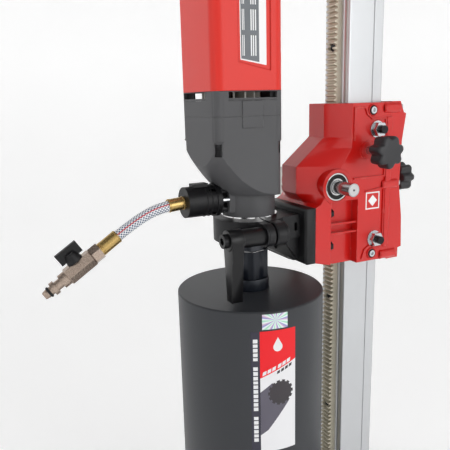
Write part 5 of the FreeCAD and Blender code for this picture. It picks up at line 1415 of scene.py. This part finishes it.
@dataclass
class Collar(Assembly):
    """Motor bracket with its clamping bolt and lever."""

    clamp: Vector = field(default_factory=lambda: Vector((0.0535, 0.0, 0.548)))
    ring_ys: tuple[float, ...] = (-0.1655, -0.155, -0.1535, -0.1425)

    def build(self) -> None:
        """Makes and dresses the bracket and its clamp."""
        self.shell("motor_bracket", Paint.CAST)
        self.shell("clamp_nut", Paint.BLACK_STEEL)
        self.shell("clamp_bolt", Paint.BLACK_STEEL)
        self.shell("clamp_lever", Paint.LEVER, 0.9 * MM)
        places = [self.clamp + Vector((0.0, y, 0.0)) for y in self.ring_ys]
        host = self.points(places, Vector((0.0, 1.0, 0.0)))
        sizes = {"Ring radius": 13.35 * MM, "Bead radius": 0.55 * MM, "Sides": 56}
        self.settle(RingGrowth(Paint.CAST).grow(host, "barrel_rings", sizes), "carriage", Paint.CAST)


@dataclass
class DrillMotor(Assembly):
    """Gearbox, motor cover, end cap and what turns inside them."""

    ridge_x: float = 40.3 * MM
    ridge_y: tuple[float, float] = (-213.3 * MM, -141.7 * MM)
    # Sills: the faces they stand on, how far they stand out, and their corners along and up.
    sill_x: float = 42.6 * MM
    sill_y: float = -215.6 * MM
    sill_proud: float = 4.2 * MM
    side_sill: tuple[float, float, float, float] = (-203.9, 700.1, -144.1, 702.4)
    front_sill: tuple[float, float, float, float] = (-39.9, 700.1, 21.9, 702.4)
    lip_outline: Outline = ((4.8, -0.9), (7.0, -0.5), (7.3, 0.3), (6.4, 1.6), (4.8, 1.6))
    lip_z: float = 654.6 * MM
    low_screws: float = 0.654
    high_screws: float = 0.904
    swivel_z: float = 0.5859
    swivel_face: float = -0.2
    swivel_seams: tuple[float, float] = (-0.2185, -0.2125)
    swivel_screws: float = 15.2 * MM
    swivel_turns: tuple[float, ...] = (52.0, 4.0, -52.0, 180.0)
    # Rating plates: corners along Y, then up.
    label_x: float = 46.5 * MM
    border: Outline = ((-189.0, 742.0), (-157.0, 736.5), (-157.0, 866.0), (-189.0, 866.0))
    grey: Outline = ((-188.0, 743.2), (-166.0, 739.6), (-166.0, 865.0), (-188.0, 865.0))
    # Ruled lines: each column's edge and width, then each row's start.
    columns: Outline = ((-186.4, 0.8), (-184.6, 0.8), (-176.2, 1.3), (-173.6, 1.3), (-170.8, 1.3))
    rows: tuple[float, ...] = (746.0, 772.0, 798.0, 824.0)
    row_height: float = 21.0

    def build(self) -> None:
        """Makes and dresses the drill motor."""
        self.shell("gear_housing", Paint.GEARBOX)
        self.shell("gearbox_cover", Paint.GEARBOX)
        self.shell("motor_cover", Paint.MOTOR)
        self.shell("motor_end_cap", Paint.CAP)
        self.shell("power_switch", Paint.KNOB)
        self.shell("cable_gland", Paint.CAP)
        self.shell("neck_ring", Paint.CHROME)
        self.shell("water_connector", Paint.WATER)
        self.dress(Paint.LAMINATION, "stator")
        self.dress(Paint.CARBON, "carbon_brushes")
        self.dress(Paint.BEARING, "gearbox_bearings")
        self.dress(Paint.RUBBER, "spindle_seals")
        self.dress(Paint.SHAFT, "armature_shaft", "intermediate_shaft", "intermediate_gear")
        self.dress(Paint.COPPER, "armature_core")
        self.shell("cooling_fan", Paint.FAN)
        self.sills()
        self.screws()
        self.rating_plates()
        self.swivel_rings()

    def sills(self) -> None:
        """Makes the sills of the air slots, and the lips over the corner screws."""
        sill = [in_metres(rectangle(*self.side_sill))]
        for side in Side:
            piece = patches(sill, flat_on(side.value * self.sill_x), self.sill_proud)
            self.mesh(f"vent_sill_{side.label}", piece, "carriage", Paint.GEARBOX)
        piece = patches([in_metres(rectangle(*self.front_sill))],
                        lambda across, up, depth: Vector((across, self.sill_y - depth, up)), self.sill_proud)
        self.mesh("vent_sill_front", piece, "carriage", Paint.GEARBOX)
        for side in (Side.LEFT, Side.RIGHT):
            spot = Vector((side.value * self.ridge_x, self.ridge_y[0], self.lip_z))
            lip = ring(in_metres(self.lip_outline), spot, Z_AXIS)
            self.mesh(f"screw_lip_{side.label}", lip, "carriage", Paint.GEARBOX)

    def screws(self) -> None:
        """Grows the socket screws of the gearbox, the end cap and the water swivel."""
        dark, bright = ScrewGrowth(Paint.BLACK_STEEL), ScrewGrowth(Paint.ZINC)
        corners = [(x, y) for x in (-self.ridge_x, self.ridge_x) for y in self.ridge_y]
        low = self.points([Vector((x, y, self.low_screws)) for x, y in corners], Vector((0.0, 0.0, -1.0)))
        grown = dark.grow(low, "gearbox_screws", screw_sizes(4.5, 4.6, 2.4, 2.4))
        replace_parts(self.settle(grown, "carriage", Paint.BLACK_STEEL), "housing_screws")
        high = self.points([Vector((x, y, self.high_screws)) for x, y in corners], Z_AXIS)
        grown = dark.grow(high, "end_cap_screws", screw_sizes(4.5, 3.0, 2.4, 2.0))
        self.settle(grown, "carriage", Paint.BLACK_STEEL)
        spots = []
        for turn in self.swivel_turns:
            angle = math.radians(turn)
            across, up = self.swivel_screws * math.cos(angle), self.swivel_screws * math.sin(angle)
            spots.append(Vector((across, self.swivel_face, self.swivel_z + up)))
        round_swivel = self.points(spots, Vector((0.0, 1.0, 0.0)))
        grown = bright.grow(round_swivel, "swivel_screws", screw_sizes(3.4, 8.6, 1.6, 2.0))
        self.settle(grown, "carriage", Paint.ZINC)

    def rating_plates(self) -> None:
        """Lays a grey plate with a white border, a white strip and blank ruled lines in each side recess."""
        bars = [in_metres(rectangle(y, z, y + wide, z + self.row_height))
                for y, wide in self.columns for z in self.rows]
        # Each layer's name, outlines, thickness, height off the recess and finish.
        layers = (("border", [in_metres(self.border)], 0.2 * MM, 0.0, Paint.PLATE_WHITE),
                  ("field", [in_metres(self.grey)], 0.1 * MM, 0.2 * MM, Paint.PLATE_GREY),
                  ("lines", bars, 0.06 * MM, 0.3 * MM, Paint.PLATE_WHITE))
        for side in Side:
            place = flat_on(side.value * self.label_x)
            for name, outlines, thick, raised, finish in layers:
                film = patches(outlines, place, thick, raised)
                self.mesh(f"plate_{name}_{side.label}", film, "carriage", finish)

    def swivel_rings(self) -> None:
        """Grows the seam beads of the water swivel."""
        places = [Vector((0.0, y, self.swivel_z)) for y in self.swivel_seams]
        host = self.points(places, Vector((0.0, 1.0, 0.0)))
        sizes = {"Ring radius": 18.0 * MM, "Bead radius": 0.7 * MM, "Sides": 64}
        self.settle(RingGrowth(Paint.WATER).grow(host, "swivel_rings", sizes), "carriage", Paint.WATER)


@dataclass
class CoreBit(Assembly):
    """Barrel with segments, adapter and its plain graphics."""

    radius: float = 91.05 * MM
    film: float = 0.08 * MM
    sleeve_radius: float = 23.3 * MM
    sleeve_flats: float = 41.4 * MM
    sleeve_bore: float = 20.52 * MM
    sleeve_span: tuple[float, float] = (485.0 * MM, 520.0 * MM)
    sleeve_facing: float = math.radians(15.0)
    sleeve_bevel: float = 0.6 * MM
    end_face: float = 0.7 * MM
    end_bevel: float = 0.2 * MM
    # Graphics, in millimetres: across the barrel, then up.
    label_left: float = 107.4
    label_right: float = 151.2
    label_low: float = 296.0
    label_high: float = 447.0
    split: tuple[float, float] = (390.0, 408.5)  # where red meets white on the left and right edges
    foil: tuple[float, float, float, float] = (110.3, 449.0, 140.7, 467.0)
    strip_left: float = 96.8
    strip_gap: float = 0.3
    mark_edges: tuple[float, float] = (99.6, 104.8)
    mark_top: float = 9.0
    mark_heights: tuple[float, ...] = (4.6, 3.9, 4.4, 4.4, 3.6, 0, 4.4, 4.8, 4.4, 3.6, 4.4, 4.6, 4.4, 3.6,
                                       4.4, 4.4, 0, 4.0, 4.4, 4.6, 4.4, 3.8, 4.4)
    mark_gap: float = 1.3
    word_gap: float = 5.0
    drop_centre: tuple[float, float] = (128.5, 427.0)
    drop_radius: float = 5.6
    drop_shoulder: float = 25.0  # degrees above level at which the round part starts
    drop_steps: int = 24
    drop_tip: float = 438.5
    # Blank words: where each block starts, its height span, width and slant.
    words: tuple = ((110, 115.6, 121.2, 128, 133.6, 139.2), (391.6, 396.2), 4.3, 0.7)
    small_words: tuple = ((127, 132, 137, 142), (384.9, 388.6), 3.6, 0.6)
    tube: Outline = ((107.4, 340.0), (107.4, 372.5), (121.5, 383.0), (142.5, 357.5), (116.4, 324.0),
                     (107.4, 318.0))
    crown_centre: tuple[float, float] = (132.0, 370.0)
    crown_radius: float = 13.8
    tooth_circle: float = 14.4
    tooth_half: tuple[float, float] = (1.9, 1.2)
    teeth: int = 14

    def build(self) -> None:
        """Makes and dresses the bit and the spindle."""
        self.shell("core_bit", Paint.BIT)
        self.shell("bit_adapter", Paint.ADAPTER, FINE_EDGE)
        self.sleeve()
        self.shell("spindle", Paint.BEARING)
        self.dress(Paint.SHAFT, "output_gear")
        self.shell("bit_segments", Paint.SEGMENT)
        self.crystals()
        self.graphics()

    def flatted(self, low: float, high: float, bevel: float) -> bmesh.types.BMesh:
        """Makes a length of the sleeve, round with six wrench flats.

        Args:
            low: Its lower end.
            high: Its upper end.
            bevel: Its ends' chamfer.

        Returns:
            The shape.
        """
        rim, bore, length, sixth = self.sleeve_radius, self.sleeve_bore, high - low, math.pi / 3
        section = [(bore, 0.0), (rim - bevel, 0.0), (rim, bevel),
                   (rim, length - bevel), (rim - bevel, length), (bore, length)]
        shape = ring(section, SPINDLE + Z_AXIS * low, Z_AXIS, 120)
        for vertex in shape.verts:
            arm = Vector((vertex.co.x - SPINDLE.x, vertex.co.y - SPINDLE.y, 0.0))
            if arm.length > (bore + rim) / 2:
                turn = (math.atan2(arm.y, arm.x) - self.sleeve_facing + sixth / 2) % sixth - sixth / 2
                flat = min(rim, self.sleeve_flats / 2 / math.cos(turn)) - (rim - arm.length)
                vertex.co += arm.normalized() * (max(flat, bore + 0.02 * MM) - arm.length)
        return shape

    def sleeve(self) -> None:
        """Puts the sleeve with wrench flats and its bright end face round the adapter's stem."""
        low, high = self.sleeve_span
        body = self.body("bit_adapter")
        self.mesh("adapter_sleeve", self.flatted(low, high, self.sleeve_bevel), body, Paint.ADAPTER)
        face = self.flatted(high, high + self.end_face, self.end_bevel)
        self.mesh("adapter_face", face, body, Paint.BEARING)

    def crystals(self) -> None:
        """Scatters diamond crystals over the segments."""
        segments = self.frame["nodes"]["bit_segments"]
        host = bpy.data.objects.new("segment_skin", segments.data.copy())
        bpy.context.scene.collection.objects.link(host)
        # The crystals' host is a little smaller than the segments, so that no crystal stands past them.
        shrink = Matrix.Diagonal((0.9985, 0.9985, 0.96, 1.0))
        centred = Matrix.Translation(SPINDLE + Z_AXIS * 0.35 * MM) @ shrink @ Matrix.Translation(-SPINDLE)
        host.data.transform(centred)
        sizes = {"Per area": 500000.0, "Size": 0.28 * MM, "Seed": 11}
        grown = CrystalGrowth(Paint.BEARING).grow(host, "segment_crystals", sizes)
        self.settle(grown, self.body("bit_segments"), Paint.SEGMENT)

    def layer(self, name: str, outlines: list, finish: Finish, level: int) -> None:
        """Lays one colour of the graphics on the barrel.

        Args:
            name: The piece's name.
            outlines: Its patches in millimetres, across the barrel and up.
            finish: Its finish.
            level: How many films lie under it.
        """
        metres = [in_metres(outline) for outline in outlines]
        shape = patches(metres, round_barrel(self.radius), self.film, level * self.film)
        self.mesh(name, shape, self.body("core_bit"), finish)

    def graphics(self) -> None:
        """Lays the foil, the strip and the two-part label, with blank marks where words would be."""
        left, right, low, high = self.label_left, self.label_right, self.label_low, self.label_high
        (left_split, right_split), edge = self.split, self.label_left - self.strip_gap
        red = [(left, left_split), (right, right_split), (right, high), (left, high)]
        white = [(left, low), (right, low), (right, right_split), (left, left_split)]
        self.layer("bit_foil", [rectangle(*self.foil)], Paint.FOIL, 0)
        self.layer("bit_strip", [rectangle(self.strip_left, low, edge, high)], Paint.LABEL_NAVY, 0)
        self.layer("bit_strip_marks", self.strip_marks(), Paint.LABEL_WHITE, 1)
        self.layer("bit_label_red", [red], Paint.LABEL_RED, 0)
        self.layer("bit_label_white", [white], Paint.LABEL_WHITE, 0)
        self.layer("bit_label_drop", [self.drop()], Paint.LABEL_WHITE, 1)
        self.layer("bit_label_words", self.blank_words(*self.words), Paint.LABEL_WHITE, 1)
        self.layer("bit_label_small_words", self.blank_words(*self.small_words), Paint.LABEL_BLACK, 1)
        self.layer("bit_label_tube", [self.tube], Paint.LABEL_MID, 1)
        self.layer("bit_label_crown", self.crown(), Paint.LABEL_BLACK, 2)

    def strip_marks(self) -> list[list[tuple[float, float]]]:
        """Draws the strip's blank marks from the top down.

        Returns:
            Their outlines.
        """
        marks, at = [], self.label_high - self.mark_top
        left, right = self.mark_edges
        for tall in self.mark_heights:
            if tall:
                marks.append(rectangle(left, at - tall, right, at))
            at -= (tall or self.word_gap) + self.mark_gap
        return marks

    def drop(self) -> list[tuple[float, float]]:
        """Draws a water drop.

        Returns:
            Its outline.
        """
        (across, up), radius = self.drop_centre, self.drop_radius
        outline = [(across, self.drop_tip)]
        for step in range(self.drop_steps + 1):
            angle = math.radians(self.drop_shoulder - (180 + 2 * self.drop_shoulder) * step / self.drop_steps)
            outline.append((across + radius * math.cos(angle), up + radius * math.sin(angle)))
        return outline

    def blank_words(self, starts: Sequence[float], span: tuple[float, float], width: float,
                    slant: float) -> list[list[tuple[float, float]]]:
        """Draws slanted blocks that climb along the line where red meets white.

        Args:
            starts: Where each block starts.
            span: The blocks' foot and top at the label's left edge.
            width: Their width.
            slant: How far their top leans over.

        Returns:
            Their outlines.
        """
        climb = (self.split[1] - self.split[0]) / (self.label_right - self.label_left)
        low, high = span
        outlines = []
        for start in starts:
            near, far = (start - self.label_left) * climb, (start + width - self.label_left) * climb
            outlines.append([(start, low + near), (start + width, low + far),
                             (start + width + slant, high + far), (start + slant, high + near)])
        return outlines

    def crown(self) -> list[list[tuple[float, float]]]:
        """Draws the toothed end of the bit that the label shows.

        Returns:
            The disc's outline and the teeth's.
        """
        across, up = self.crown_centre
        wide, deep = self.tooth_half
        teeth = []
        for tooth in range(self.teeth):
            angle = 2 * math.pi * tooth / self.teeth
            c, s = math.cos(angle), math.sin(angle)
            u, v = across + self.tooth_circle * c, up + self.tooth_circle * s
            teeth.append([(u - a * wide * s + b * deep * c, v + a * wide * c + b * deep * s)
                          for a, b in ((1, -1), (-1, -1), (-1, 1), (1, 1))])
        return disc(across, up, self.crown_radius) + teeth


def main() -> None:
    """Builds the whole rig."""
    logging.basicConfig(level=logging.INFO, format="%(message)s", stream=sys.stdout)
    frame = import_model()
    Studio().build()
    WaterHose(frame).build()
    Stand(frame).build()
    Carriage(frame).build()
    Feed(frame).build()
    StarKnob(frame).build()
    StarKnob(frame, node="rear_knob", hub=Vector((0.0, 0.076, 0.59)), axis=Vector((0.0, 1.0, 0.0))).build()
    Collar(frame).build()
    DrillMotor(frame).build()
    CoreBit(frame).build()


if __name__ == "__main__":
    main()
